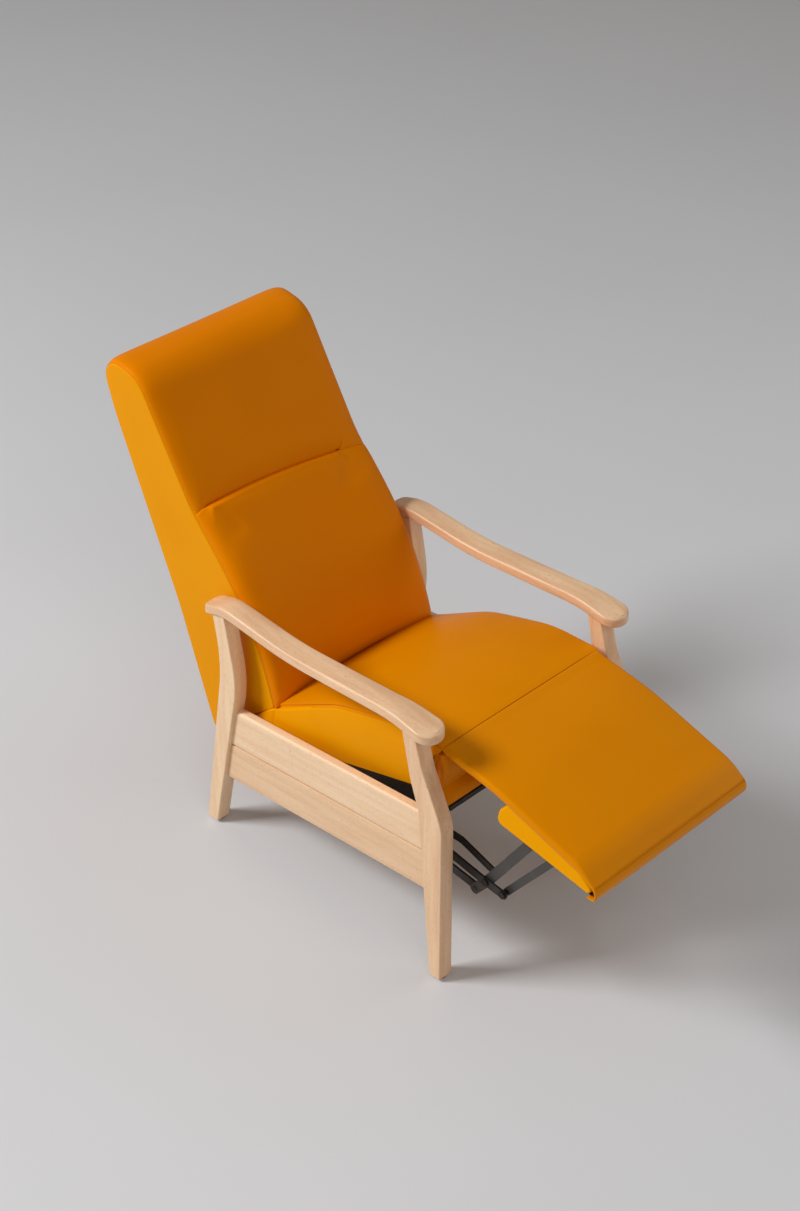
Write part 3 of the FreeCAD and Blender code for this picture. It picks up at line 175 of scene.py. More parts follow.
def beech(name, grain_axis, tilt=0.0, pale=BEECH_PALE, deep=BEECH_DEEP):
    """Steamed beech under satin lacquer, as a solid block whose grain runs along one axis, tilted about X.

    Broad figure about 20 mm wide, streaks about 3 mm wide, and the short dark flecks of beech.
    The flecks are really about 0.5 mm wide and are drawn 2 mm wide, so that they show.
    """
    material, tree, place = new_material(name)
    figure_size, streak_size, fleck_size = (0.020, 14, 3.0), (0.003, 60, 2.0), (0.002, 7, 1.0)
    patterns = []
    for width, length_ratio, detail in (figure_size, streak_size, fleck_size):
        size = np.full(3, width)
        size[grain_axis] *= length_ratio
        stretched = add(tree, "Mapping", {"Scale": size.tolist(), "Rotation": (tilt, 0, 0)},
                        {"Vector": place}, vector_type="TEXTURE")
        noise = add(tree, "TexNoise", {"Scale": 1.0, "Detail": detail, "Distortion": 0.2},
                    {"Vector": stretched.outputs["Vector"]})
        patterns.append(noise.outputs["Fac"])
    figure = add(tree, "MapRange", {"From Min": 0.36, "From Max": 0.66}, {"Value": patterns[0]})
    streak = add(tree, "MapRange", {"From Min": 0.35, "From Max": 0.7, "To Max": 0.13},
                 {"Value": patterns[1]})
    fleck = add(tree, "MapRange", {"From Min": 0.60, "From Max": 0.74, "To Max": 0.42},
                {"Value": patterns[2]})
    board = add(tree, "Mix", {6: colour(pale), 7: colour(deep)}, {0: figure.outputs["Result"]},
                data_type="RGBA")
    streaked = add(tree, "Mix", {7: colour(deep)},
                   {0: streak.outputs["Result"], 6: board.outputs[2]}, data_type="RGBA")
    flecked = add(tree, "Mix", {7: colour(BEECH_FLECK)},
                  {0: fleck.outputs["Result"], 6: streaked.outputs[2]}, data_type="RGBA")
    gloss = add(tree, "MapRange", {"To Min": 0.36, "To Max": 0.5}, {"Value": patterns[1]})
    relief = add(tree, "Bump", {"Strength": 0.15, "Distance": 0.0003}, {"Height": patterns[1]})
    return finished(material, {"IOR": 1.5, "Coat Weight": 0.2, "Coat Roughness": 0.3}, flecked, gloss, relief)


SHARP_TURN = np.radians(42)
SAME_POINT = 1e-6


def placed(name, data):
    """A new object in the scene, at the origin."""
    made = bpy.data.objects.new(name, data)
    bpy.context.scene.collection.objects.link(made)
    return made


def piece(name, points, faces, material, slot, body, *replaced):
    """One finished mesh: doubles merged, faces outwards, smooth up to SHARP_TURN, riding on its body."""
    mesh = bpy.data.meshes.new(name)
    mesh.from_pydata(points.reshape(-1, 3).tolist(), [], faces)
    work = bmesh.new()
    work.from_mesh(mesh)
    bmesh.ops.remove_doubles(work, verts=work.verts, dist=SAME_POINT)
    bmesh.ops.recalc_face_normals(work, faces=work.faces)
    work.to_mesh(mesh)
    work.free()
    mesh.shade_smooth()
    mesh.set_sharp_from_angle(angle=SHARP_TURN)
    mesh.materials.append(material)
    made = placed(name, mesh)
    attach(made, body)
    if replaced:
        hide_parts(*replaced)
    return made


def ring_piece(name, rings, *finish):
    """One finished piece whose points are closed rings, with a flat face at each end."""
    return piece(name, rings, ring_faces(*rings.shape[:2]), *finish)


arm_top = soft_line(ARM_TOP_CORNERS, ARM_TOP_RADII)


def arm_underside(back):
    """Height of the armrest's underside at a distance behind the front feet."""
    return np.interp(back, arm_top[:, 0], arm_top[:, 1]) - ARM_THICKNESS


FOOT_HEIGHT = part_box("left_front_leg")[0].z
FRONT_LEG = [
    (0.000, FOOT_HEIGHT), (0.000, 0.448), (0.057, 0.572), (0.084, arm_underside(0.084) + LEG_SUNK),
    (0.122, arm_underside(0.122) + LEG_SUNK), (0.093, 0.530), (0.070, 0.462), (0.033, FOOT_HEIGHT),
]
FRONT_LEG_RADII = [LEG_CORNER, 0.120, 0.160, LEG_CORNER, LEG_CORNER, 0.160, 0.090, LEG_CORNER]
REAR_LEG = [
    (0.752, FOOT_HEIGHT), (0.651, 0.470), (0.684, arm_underside(0.684) + LEG_SUNK),
    (0.723, arm_underside(0.723) + LEG_SUNK), (0.701, 0.515), (0.787, FOOT_HEIGHT),
]
REAR_LEG_RADII = [LEG_CORNER, 0.330, LEG_CORNER, LEG_CORNER, 0.450, LEG_CORNER]
# The rear legs use a lighter copy of the beech: painted light, as where the lamp falls on their outer faces.
LIT_REAR_LEG_PALE, LIT_REAR_LEG_DEEP = "F3D2AA", "E9C299"
front_beech = beech("lacquered_beech_upright", 2)
lit_rear_beech = beech("lacquered_beech_rear_leg_painted_light", 2, 0.0, LIT_REAR_LEG_PALE, LIT_REAR_LEG_DEEP)
for leg, wood, corners, radii in (("front_leg", front_beech, FRONT_LEG, FRONT_LEG_RADII),
                                  ("rear_leg", lit_rear_beech, REAR_LEG, REAR_LEG_RADII)):
    outline = soft_loop(corners, radii) + (FRONT_OF_FEET, 0)
    for side in ("left", "right"):
        low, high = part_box(side + "_" + leg)
        rings = slab(outline, low.x, high.x, LEG_EDGE)
        ring_piece(side + "_" + leg + "_wood", rings, wood, "beech", "frame", side + "_" + leg)

# Side rails: two beech boards on edge between the legs of each side frame.
# They meet in a narrow groove, and the outer top edge of the upper board is well rounded.
RAIL_SLOPE = np.tan(np.radians(6.42))
RAIL_TOP = 0.449
UPPER_BOARD, LOWER_BOARD = 0.104, 0.108
KNEE_BACK = FRONT_LEG[-2][0]
RAIL_STATIONS, RAIL_STEP = 7, 0.0012
RAIL_FILLET, RAIL_SOFT, RAIL_GROOVE, GROOVE_SLIT = 0.008, 0.0015, 0.003, 0.003
UPPER_PALE, UPPER_DEEP = "F3D2AC", "EAC39B"
LOWER_PALE, LOWER_DEEP = "EBC79F", "E1B68D"


def beside_leg(drop, foot, knee):
    """Where a line along the rail, at a drop below its top edge, meets the straight edge of a leg."""
    lean = (knee[0] - foot[0]) / (knee[1] - foot[1])
    level = RAIL_TOP - drop + KNEE_BACK * RAIL_SLOPE
    return (foot[0] + lean * (level - foot[1])) / (1 + lean * RAIL_SLOPE)


upper_beech = beech("lacquered_beech_rail", 1, -np.arctan(RAIL_SLOPE), UPPER_PALE, UPPER_DEEP)
lower_beech = beech("lacquered_beech_low_rail", 1, -np.arctan(RAIL_SLOPE), LOWER_PALE, LOWER_DEEP)
for board, wood, top, bottom, top_round, bottom_round in (
        ("upper_rail", upper_beech, 0.0, UPPER_BOARD, RAIL_FILLET, RAIL_GROOVE),
        ("lower_rail", lower_beech, UPPER_BOARD + GROOVE_SLIT, UPPER_BOARD + LOWER_BOARD,
         RAIL_SOFT, RAIL_GROOVE)):
    for side in ("left", "right"):
        low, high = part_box(side + "_" + board)
        outer, inner = (low.x, high.x) if side == "left" else (high.x, low.x)
        section = soft_loop([(outer, top), (inner, top), (inner, bottom), (outer, bottom)],
                            [top_round, RAIL_SOFT, RAIL_SOFT, bottom_round], RAIL_STEP)
        start = beside_leg(section[:, 1], FRONT_LEG[-1], FRONT_LEG[-2])
        end = beside_leg(section[:, 1], REAR_LEG[0], REAR_LEG[1])
        share = np.linspace(0, 1, RAIL_STATIONS)[:, None]
        back = start + (end - start) * share
        height = RAIL_TOP - section[:, 1] - (back - KNEE_BACK) * RAIL_SLOPE
        rings = np.stack([np.broadcast_to(section[:, 0], back.shape), FRONT_OF_FEET + back, height], 2)
        ring_piece(side + "_" + board + "_wood", rings, wood, "beech", "frame", side + "_" + board)

# Armrests: each is cut from one beech board, S-shaped from the side and paddle-shaped from above.
# The nose is a full round, and every edge is rounded over for the hand.
ARM_EDGE = 0.006
ARM_CROWN = 0.0015
NOSE_HALF, NOSE_ROUND, NOSE_CENTRE = 0.0385, 0.036, 0.290
WAIST_BACK, WAIST_HALF, WAIST_ROUND = 0.180, 0.030, 0.120
END_HALF, END_ROUND, END_CENTRE = 0.0275, 0.016, 0.289
END_BOW, PLAN_STEP = 0.0012, 0.0025
nose_back, end_back = ARM_TOP_CORNERS[0][0], ARM_TOP_CORNERS[-1][0]


def armrest_points(side):
    """Closed loops round the armrest, one for each point of half its plan, from the nose to the rear end.

    The edges follow quarter rounds as on a slab, and the top is lifted by crown * (1 - share ** 2) across it.
    """
    plan = soft_line([(nose_back - END_BOW, 0), (nose_back, NOSE_HALF), (WAIST_BACK, WAIST_HALF),
                      (end_back, END_HALF), (end_back + END_BOW, 0)],
                     [NOSE_ROUND, WAIST_ROUND, END_ROUND], PLAN_STEP)
    ahead = unit(np.gradient(plan, axis=0))
    normal = np.stack([-ahead[:, 1], ahead[:, 0]], 1)
    normal[0], normal[-1] = (-1, 0), (1, 0)
    angle = np.linspace(0, np.pi / 2, 6)
    rounding, sinking = ARM_EDGE * (1 - np.cos(angle)), ARM_EDGE * (1 - np.sin(angle))
    across = np.linspace(1, -1, 11)[1:-1]
    flat = np.full(across.shape, ARM_EDGE)
    wall = np.ones(angle.shape)
    inset = np.concatenate([rounding[::-1], rounding, flat, rounding[::-1], rounding, flat])
    share = np.concatenate([wall, wall, across, -wall, -wall, across[::-1]])
    drop = np.concatenate([ARM_THICKNESS - sinking[::-1], sinking, -ARM_CROWN * (1 - across ** 2),
                           sinking[::-1], ARM_THICKNESS - sinking, np.full(flat.shape, ARM_THICKNESS)])
    back = plan[:, :1] - normal[:, :1] * inset
    half = (plan[:, 1:] - normal[:, 1:] * inset) * share
    centre = np.interp(back, [nose_back, end_back], [NOSE_CENTRE, END_CENTRE])
    height = np.interp(back, arm_top[:, 0], arm_top[:, 1]) - drop
    return np.stack([side * centre + half, FRONT_OF_FEET + back, height], 2)


beech_lengthwise = beech("lacquered_beech_lengthwise", 1)
for side, sign in (("left", -1), ("right", 1)):
    loops = armrest_points(sign)
    quads = ring_faces(*loops.shape[:2])[:-2]
    piece(side + "_armrest_wood", loops, quads, beech_lengthwise, "beech", "frame", side + "_armrest")

# Plain wood: the lacquered cross rails between the side frames, and the raw boards inside the seat,
# the back and the footrest. They keep the shapes of the frame and only get their finish here.
RAW_PALE, RAW_DEEP = "D8BE97", "BF9C6E"


def dress(names, material):
    """Give a finish to pieces whose shape stays as it is."""
    for name in names:
        nodes[name].data.materials.clear()
        nodes[name].data.materials.append(material)


def raw_wood():
    """Sawn beech and plywood without lacquer: dull, with 8 mm bands across the boards."""
    material, tree, place = new_material("raw_beech_ply")
    stretched = add(tree, "Mapping", {"Scale": (8.0, 125.0, 125.0)}, {"Vector": place})
    noise = add(tree, "TexNoise", {"Scale": 1.0, "Detail": 3.0}, {"Vector": stretched.outputs["Vector"]})
    bands = noise.outputs["Fac"]
    board = add(tree, "Mix", {6: colour(RAW_PALE), 7: colour(RAW_DEEP)}, {0: bands}, data_type="RGBA")
    relief = add(tree, "Bump", {"Strength": 0.3, "Distance": 0.0004}, {"Height": bands})
    return finished(material, {"Roughness": 0.7}, board, None, relief)


dress(["front_cross_rail", "rear_cross_rail"], beech("lacquered_beech_crosswise", 0))
dress(["seat_panel", "seat_front_rail", "footrest_board", "back_bottom_rail", "back_top_rail",
       "left_back_stile", "right_back_stile"], raw_wood())

# Steel: plates, brackets and flat links punched from strip and powder-coated black; the bars' lighter grey is
# a painted reflection.
# The coat is satin with a fine orange peel, and worn paler where the links rub.
STEEL_BLACK, STEEL_WORN = "201F1E", "403E3B"
# The bars' lighter greys are a painted reflection on their coat; the worn patches on them are real wear.
BAR_SHEEN_GREY, BAR_SHEEN_WORN = "42403E", "605D5A"


def coated_steel(name, dark, worn):
    """Powder coat on steel: peel about 2 mm wide, drawn 4 mm wide to show, and worn patches of 60 mm."""
    material, tree, place = new_material(name)
    peel = add(tree, "TexNoise", {"Scale": 250.0, "Detail": 2.0}, {"Vector": place})
    wear = add(tree, "TexNoise", {"Scale": 16.0, "Detail": 5.0, "Roughness": 0.7},
               {"Vector": place}).outputs["Fac"]
    bare = add(tree, "MapRange", {"From Min": 0.52, "From Max": 0.75, "To Max": 0.7}, {"Value": wear})
    coat = add(tree, "Mix", {6: colour(dark), 7: colour(worn)}, {0: bare.outputs["Result"]}, data_type="RGBA")
    gloss = add(tree, "MapRange", {"To Min": 0.34, "To Max": 0.5}, {"Value": wear})
    relief = add(tree, "Bump", {"Strength": 0.2, "Distance": 0.0003}, {"Height": peel.outputs["Fac"]})
    return finished(material, {"Metallic": 0.3}, coat, gloss, relief)


links = ["front_link", "rear_link", "drive_link", "seat_plate", "base_plate", "back_hinge_bracket"]
bars = ["long_bar", "short_bar", "footrest_bracket"]
black_steel = coated_steel("powder_coated_steel", STEEL_BLACK, STEEL_WORN)
# Lighter copy of the coat for the bars: painted reflection.
sheen_bar_steel = coated_steel("powder_coated_bar_painted_sheen", BAR_SHEEN_GREY, BAR_SHEEN_WORN)
for names, finish in ((links, black_steel), (bars, sheen_bar_steel)):
    dress([side + "_" + name for side in ("left", "right") for name in names], finish)
dress(["seat_front_bar"], black_steel)

# Pins and bolts: turned steel, blackened, that carry the links, the hinges and the plates.
# Fine rings from the lathe catch the light on their heads.
PIN_DARK, PIN_BRIGHT = "191817", "3B3937"


def turned_steel():
    """Blackened turned steel: streaks of 1 mm, drawn 2 mm wide, between a dark and a brighter grey."""
    material, tree, place = new_material("blackened_steel")
    stretched = add(tree, "Mapping", {"Scale": (500.0, 90.0, 90.0)}, {"Vector": place})
    noise = add(tree, "TexNoise", {"Scale": 1.0, "Detail": 2.0}, {"Vector": stretched.outputs["Vector"]})
    streaks = noise.outputs["Fac"]
    metal = add(tree, "Mix", {6: colour(PIN_DARK), 7: colour(PIN_BRIGHT)}, {0: streaks}, data_type="RGBA")
    gloss = add(tree, "MapRange", {"To Min": 0.28, "To Max": 0.45}, {"Value": streaks})
    return finished(material, {"Metallic": 0.9}, metal, gloss)


dress(["base_plate_bolts", "seat_hinge_pins", "link_pivot_pins", "back_hinge_pins", "left_front_link_pins",
       "right_front_link_pins"], turned_steel())

# Small black pieces: nylon glides under the feet, the plastic clip that holds the footrest's hem,
# and the woven elastic straps across the back's frame.
NYLON, WEBBING_VALLEY_SHADE, WEBBING_PALE = "1B1A19", "23211F", "3D3934"


def moulded_nylon():
    """Black moulded nylon: matt, with a spark-eroded grain of about 1 mm."""
    material, tree, place = new_material("moulded_nylon")
    grain = add(tree, "TexNoise", {"Scale": 900.0, "Detail": 1.0}, {"Vector": place}).outputs["Fac"]
    relief = add(tree, "Bump", {"Strength": 0.3, "Distance": 0.0002}, {"Height": grain})
    gloss = add(tree, "MapRange", {"To Min": 0.5, "To Max": 0.65}, {"Value": grain})
    return finished(material, {"Base Color": colour(NYLON)}, None, gloss, relief)


def woven_webbing():
    """Elastic webbing: ribs 3 mm apart along its width, with painted shade in the valleys between them."""
    material, tree, place = new_material("woven_webbing")
    ribs = add(tree, "TexWave", {"Scale": 105.0, "Distortion": 0.5}, {"Vector": place},
               bands_direction="X").outputs["Fac"]
    # Darker between the ribs: painted shade in the valleys.
    cloth = add(tree, "Mix", {6: colour(WEBBING_VALLEY_SHADE), 7: colour(WEBBING_PALE)}, {0: ribs}, data_type="RGBA")
    relief = add(tree, "Bump", {"Strength": 0.5, "Distance": 0.0006}, {"Height": ribs})
    return finished(material, {"Roughness": 0.9}, cloth, None, relief)


dress(["foot_glides", "hem_clip"], moulded_nylon())
dress(["back_straps"], woven_webbing())

# Seat cushion: foam on the plywood panel, covered in vinyl with a crowned top and two side panels.
# The top is sewn to the sides along its upper edges, and its front edge is sewn to the footrest's flap.
SEAT_SLOPE = np.radians(17.0)
SEAM = np.array([FRONT_OF_FEET + 0.056, 0.592])
SEAT_HALF = 0.2475
SEAT_TOP = [(0.003, 0.0105), (0.012, 0.0155), (0.150, 0.055), (0.330, 0.062), (0.550, 0.003), (0.700, -0.078)]
SEAT_TOP_RADII = [0.012, 0.700, 0.500, 0.080]
SEAT_EDGE = [(0.003, 0.008), (0.012, 0.0125), (0.130, 0.043), (0.330, 0.040), (0.576, -0.014),
             (0.700, -0.076)]
SEAT_EDGE_RADII = [0.010, 0.300, 0.300, 0.060]
SEAT_FRONT_HEIGHT = [-0.112, -0.012, -0.004, 0.010]
SEAT_FRONT_BACK = [0.060, 0.034, 0.011, 0.003]
SEAT_UNDER = SEAT_FRONT_HEIGHT[0]
SEAT_BASE, SEAT_BASE_FRONT, SEAT_BASE_HALF = -0.0915, 0.060, 0.2482
SEAT_FLATNESS, SEAT_RISE = 3.2, 0.020
SEAT_SIDE_BULGE = 0.008
REAR_SPREAD, SPREAD_FROM, SPREAD_RUN = 0.007, 0.40, 0.12
SEAM_DIP, DIP_COLUMNS = 0.0045, 1.6
COVER_ROWS, COVER_COLUMNS, SIDE_COLUMNS, FINE = 66, 58, 14, 3
SEAT_CROWDING, COVER_CROWDING = 0.45, 0.5
SEAT_PRESSURE, SEAT_PUFF = 2.5, 0.010
CLOTH_FRAMES, FOAM_EVENING = 20, 8
GATHER_BACK, GATHER_WIDTH, GATHER_DEPTH = 0.554, 0.006, 0.0055
GATHER_LEAN, GATHER_COLUMNS = 0.03, 6
VINYL_BRIGHT, VINYL_DEEP, VINYL_SHINE = "DF8900", "D78000", 0.13
# The side panels use a brighter, yellower copy of the vinyl: painted light, as where the lamp falls on the
# sides.
LIT_SIDE_BRIGHT, LIT_SIDE_DEEP, SIDE_SHINE = "E89900", "E09000", 0.05
THREAD = "C8801C"
THREAD_START, THREAD_END, THREAD_ASIDE = 8, 0.530, 3


def on_seat(back, up):
    """Side-view place of a point given along the seat from its front seam and square to it."""
    return (SEAM[0] + back * np.cos(SEAT_SLOPE) + up * np.sin(SEAT_SLOPE),
            SEAM[1] - back * np.sin(SEAT_SLOPE) + up * np.cos(SEAT_SLOPE))


def steps(count, crowd):
    """Shares t from 0 to 1, closer towards both ends: t - crowd * sin(2 pi t) / (2 pi)."""
    share = np.linspace(0, 1, count)
    return share - crowd * np.sin(2 * np.pi * share) / (2 * np.pi)


def even(points, count, crowd=0.0):
    """Points at such steps along a line."""
    run = run_along(points)
    return along_line(steps(count, crowd) * run[-1], run, points)


def crown(half_width, rise, flatness, columns):
    """Places across a cover, and how full it is there: share f and sqrt(1 - |f| ** flatness)."""
    angle = np.linspace(0, np.pi, 4001)
    share = -np.sign(np.cos(angle)) * np.abs(np.cos(angle)) ** (2 / flatness)
    share = even(np.stack([half_width * share, rise * np.sin(angle)], 1), columns, COVER_CROWDING)[:, 0]
    share = share / half_width
    return share, np.sqrt(np.clip(1 - np.abs(share) ** flatness, 0, 1))


def inflated(cover, sewn, pressure, cap):
    """The cover after cloth under pressure, held where it is sewn; no point moves further than the cap.

    The foam evens out small creases, so each move d is averaged with its neighbours a few times.
    Then it is limited to cap * tanh(d / cap).
    """
    rows, columns = cover.shape[:2]
    index = np.arange(rows * columns).reshape(rows, columns)
    quads = np.stack([index[:-1, :-1], index[:-1, 1:], index[1:, 1:], index[1:, :-1]], -1).reshape(-1, 4)
    mesh = bpy.data.meshes.new("cover")
    mesh.from_pydata(cover.reshape(-1, 3).tolist(), [], quads.tolist())
    work = placed("cover", mesh)
    held = work.vertex_groups.new(name="sewn")
    held.add(np.flatnonzero(sewn.ravel()).tolist(), 1.0, "REPLACE")
    cloth = work.modifiers.new("filling", "CLOTH")
    for key, value in {"quality": 6, "mass": 0.4, "tension_stiffness": 25, "compression_stiffness": 25,
                       "shear_stiffness": 12, "bending_stiffness": 12, "vertex_group_mass": "sewn",
                       "use_pressure": True, "uniform_pressure_force": pressure}.items():
        setattr(cloth.settings, key, value)
    cloth.settings.effector_weights.gravity = 0
    cloth.collision_settings.use_collision = False
    for step in range(1, CLOTH_FRAMES + 1):
        bpy.context.scene.frame_set(step)
    settled = work.evaluated_get(bpy.context.evaluated_depsgraph_get()).data
    moved = np.empty(rows * columns * 3)
    settled.vertices.foreach_get("co", moved)
    move = moved.reshape(cover.shape) - cover
    for _ in range(FOAM_EVENING):
        around = np.pad(move, ((1, 1), (1, 1), (0, 0)), "edge")
        beside = around[1:-1, :-2] + around[1:-1, 2:] + around[:-2, 1:-1] + around[2:, 1:-1]
        move = np.where(sewn[..., None], 0, move / 2 + beside / 8)
    far = np.maximum(np.linalg.norm(move, axis=2, keepdims=True), 1e-9)
    bpy.data.objects.remove(work)
    bpy.data.meshes.remove(mesh)
    bpy.context.scene.frame_set(1)
    return cover + move / far * cap * np.tanh(far / cap)


def spread(count, times):
    """Weights that put times points on each span of a Catmull-Rom curve through count points."""
    place = np.linspace(0, count - 1, (count - 1) * times + 1)
    span = np.minimum(place.astype(int), count - 2)
    t = place - span
    weights = np.zeros((len(place), count))
    taps = (t * (2 * t - t * t - 1) / 2, (3 * t ** 3 - 5 * t ** 2 + 2) / 2, t * (4 * t - 3 * t * t + 1) / 2,
            (t ** 3 - t ** 2) / 2)
    for shift, tap in enumerate(taps, start=-1):
        np.add.at(weights, (np.arange(len(place)), np.clip(span + shift, 0, count - 1)), tap)
    return weights


def finer(cover, times):
    """The same cover with times as many rows and columns, on smooth curves through its points."""
    return np.einsum("ai,ijk,bj->abk", spread(cover.shape[0], times), cover, spread(cover.shape[1], times))


def stuffed_faces(rows, columns):
    """Faces of a body with a cover of rows by columns points and a base of two points under each row."""
    index = np.arange(rows * columns).reshape(rows, columns)
    base = rows * columns + np.arange(rows * 2).reshape(rows, 2)
    rim = np.concatenate([base[:, :1], index, base[:, 1:]], 1)
    quads = np.stack([rim[:-1, :-1], rim[:-1, 1:], rim[1:, 1:], rim[1:, :-1]], -1).reshape(-1, 4)
    under = np.stack([base[:-1, 1], base[:-1, 0], base[1:, 0], base[1:, 1]], -1)
    return quads.tolist() + under.tolist() + [rim[0].tolist(), rim[-1].tolist()]


def stuffed_piece(name, cover, line, half, *finish):
    """One finished body of that kind, whose base follows a side-view line, half its width to each side."""
    base = np.stack([np.insert(line, 0, -half, 1), np.insert(line, 0, half, 1)], 1)
    points = np.concatenate([cover.reshape(-1, 3), base.reshape(-1, 3)])
    return piece(name, points, stuffed_faces(*cover.shape[:2]), *finish)


def outward(cover):
    """Unit normals of a cover whose columns run along +X: across x along."""
    return unit(np.cross(np.gradient(cover, axis=1), np.gradient(cover, axis=0)))


def stitches(name, path, normal, material, body):
    """A row of thread stitches along a path: each is a bar of four five-sided rings, sunk at both ends.

    Real stitches are 0.4 mm thick and 4 mm apart; these are 1 mm thick and 6 mm apart, so that they show.
    """
    pitch, length, thick = 0.006, 0.0044, 0.0005
    run = run_along(path)
    where = np.arange(pitch, run[-1] - pitch / 2, pitch)
    centre = along_line(where, run, path)
    ahead = unit(along_line(where, run, np.gradient(path, axis=0)))
    out = along_line(where, run, normal)
    out = unit(out - ahead * np.sum(out * ahead, 1, keepdims=True))
    beside = np.cross(ahead, out)
    along = np.array([-0.5, -0.22, 0.22, 0.5])[:, None] * length
    girth = np.array([0.45, 1.0, 1.0, 0.45])[:, None] * thick
    lift = np.array([-0.5, 0.5, 0.5, -0.5])[:, None] * thick
    angle = np.linspace(0, 2 * np.pi, 5, endpoint=False)
    up, wide = girth * np.cos(angle) + lift, girth * np.sin(angle)
    axes = [vector[:, None, None, :] for vector in (centre, ahead, out, beside)]
    points = axes[0] + axes[1] * along[..., None] + axes[2] * up[..., None] + axes[3] * wide[..., None]
    one = np.array(ring_faces(4, 5)[:-2])
    ends = np.array(ring_faces(4, 5)[-2:])
    start = (np.arange(len(where)) * 20)[:, None, None]
    faces = (one + start).reshape(-1, 4).tolist() + (ends + start).reshape(-1, 5).tolist()
    return piece(name, points, faces, material, "vinyl", body)


def vinyl_cloth(name, bright, deep, shine=VINYL_SHINE):
    """Coated upholstery vinyl: a smooth satin skin, evenly dyed, embossed with a fine pebble grain.

    The pebbles are really 0.8 mm wide and are drawn 1.6 mm wide. Tone drifts over about 200 mm.
    """
    material, tree, place = new_material(name)
    drift = add(tree, "TexNoise", {"Scale": 5.0, "Detail": 2.0}, {"Vector": place})
    skin = add(tree, "Mix", {6: colour(bright), 7: colour(deep)}, {0: drift.outputs["Fac"]}, data_type="RGBA")
    pebble = add(tree, "TexVoronoi", {"Scale": 625.0}, {"Vector": place})
    handling = add(tree, "TexNoise", {"Scale": 28.0, "Detail": 3.0}, {"Vector": place})
    gloss = add(tree, "MapRange", {"To Min": 0.36, "To Max": 0.46}, {"Value": handling.outputs["Fac"]})
    relief = add(tree, "Bump", {"Strength": 0.12, "Distance": 0.0002}, {"Height": pebble.outputs["Distance"]})
    return finished(material, {"IOR": 1.48, "Specular IOR Level": shine, "Specular Tint": colour(bright)},
                    skin, gloss, relief)


def sewing_thread():
    """Twisted polyester thread in the colour of the vinyl, a little duller."""
    material, tree, place = new_material("sewing_thread")
    twist = add(tree, "TexNoise", {"Scale": 800.0}, {"Vector": place})
    gloss = add(tree, "MapRange", {"To Min": 0.5, "To Max": 0.8}, {"Value": twist.outputs["Fac"]})
    return finished(material, {"Base Color": colour(THREAD)}, None, gloss)


def seat_cover():
    """The seat's top and sides as one grid: rows to the rear, columns from the left side over to the right.

    The top is edge + (top - edge) * fullness, and a side bulges by sin(pi t) between its foot and its seam.
    """
    share, fullness = crown(SEAT_HALF, SEAT_RISE, SEAT_FLATNESS, COVER_COLUMNS)
    top = even(soft_line(SEAT_TOP, SEAT_TOP_RADII), COVER_ROWS, SEAT_CROWDING)
    edge = soft_line(SEAT_EDGE, SEAT_EDGE_RADII)
    edge = np.stack([top[:, 0], np.interp(top[:, 0], edge[:, 0], edge[:, 1])], 1)
    up = edge[:, 1:] + (top[:, 1:] - edge[:, 1:]) * fullness
    back = np.broadcast_to(top[:, :1], up.shape)
    x = np.broadcast_to(SEAT_HALF * share, up.shape)
    climb = np.linspace(0, 1, SIDE_COLUMNS, endpoint=False)
    side_up = SEAT_UNDER + (edge[:, 1:] - SEAT_UNDER) * climb
    first = np.interp(side_up[:1], SEAT_FRONT_HEIGHT, SEAT_FRONT_BACK)
    along = (top[:, :1] - top[0, 0]) / (top[-1, 0] - top[0, 0])
    side_back = first + (top[-1, 0] - first) * along
    side_x = SEAT_HALF + SEAT_SIDE_BULGE * np.sin(np.pi * climb)
    side_x = side_x + REAR_SPREAD * np.clip((side_back - SPREAD_FROM) / SPREAD_RUN, 0, 1)
    x = np.concatenate([-side_x, x, side_x[:, ::-1]], 1)
    back = np.concatenate([side_back, back, side_back[:, ::-1]], 1)
    up = np.concatenate([side_up, up, side_up[:, ::-1]], 1)
    return np.stack([x, *on_seat(back, up)], 2)


vinyl = vinyl_cloth("upholstery_vinyl", VINYL_BRIGHT, VINYL_DEEP)
# Lit copy of the vinyl for the side panels: painted light.
lit_side_vinyl = vinyl_cloth("upholstery_vinyl_side_painted_light", LIT_SIDE_BRIGHT, LIT_SIDE_DEEP, SIDE_SHINE)
thread = sewing_thread()
cover = seat_cover()
sewn = np.ones(cover.shape[:2], bool)
sewn[1:-1, 1:-1] = False
sewn[:, [SIDE_COLUMNS, -1 - SIDE_COLUMNS]] = True
cover = finer(inflated(cover, sewn, SEAT_PRESSURE, SEAT_PUFF), FINE)
normal = outward(cover)
# Both seams dip by exp(-(columns / width) ** 2), and a gather of the same form crosses each side panel
# near its rear end, growing with the square of the climb to the seam.
column = np.arange(cover.shape[1])
seams = FINE * np.array([SIDE_COLUMNS, COVER_COLUMNS + SIDE_COLUMNS - 1])
off_seam = np.abs(column[:, None] - seams).min(1)
from_rim = np.minimum(column, column[::-1])
climb = np.clip(from_rim / seams[0], 0, 1)
inside = np.clip(from_rim - seams[0], 0, None)
back = (cover[..., 1] - SEAM[0]) * np.cos(SEAT_SLOPE) - (cover[..., 2] - SEAM[1]) * np.sin(SEAT_SLOPE)
gather = np.exp(-((back - GATHER_BACK - GATHER_LEAN * (1 - climb)) / GATHER_WIDTH) ** 2)
gather = gather * climb ** 2 * np.exp(-inside / GATHER_COLUMNS)
dip = SEAM_DIP * np.exp(-(off_seam / DIP_COLUMNS) ** 2) + GATHER_DEPTH * gather
cover = cover - normal * dip[..., None]
base = np.stack(on_seat(np.linspace(SEAT_BASE_FRONT, SEAT_TOP[-1][0], len(cover)), SEAT_BASE), 1)
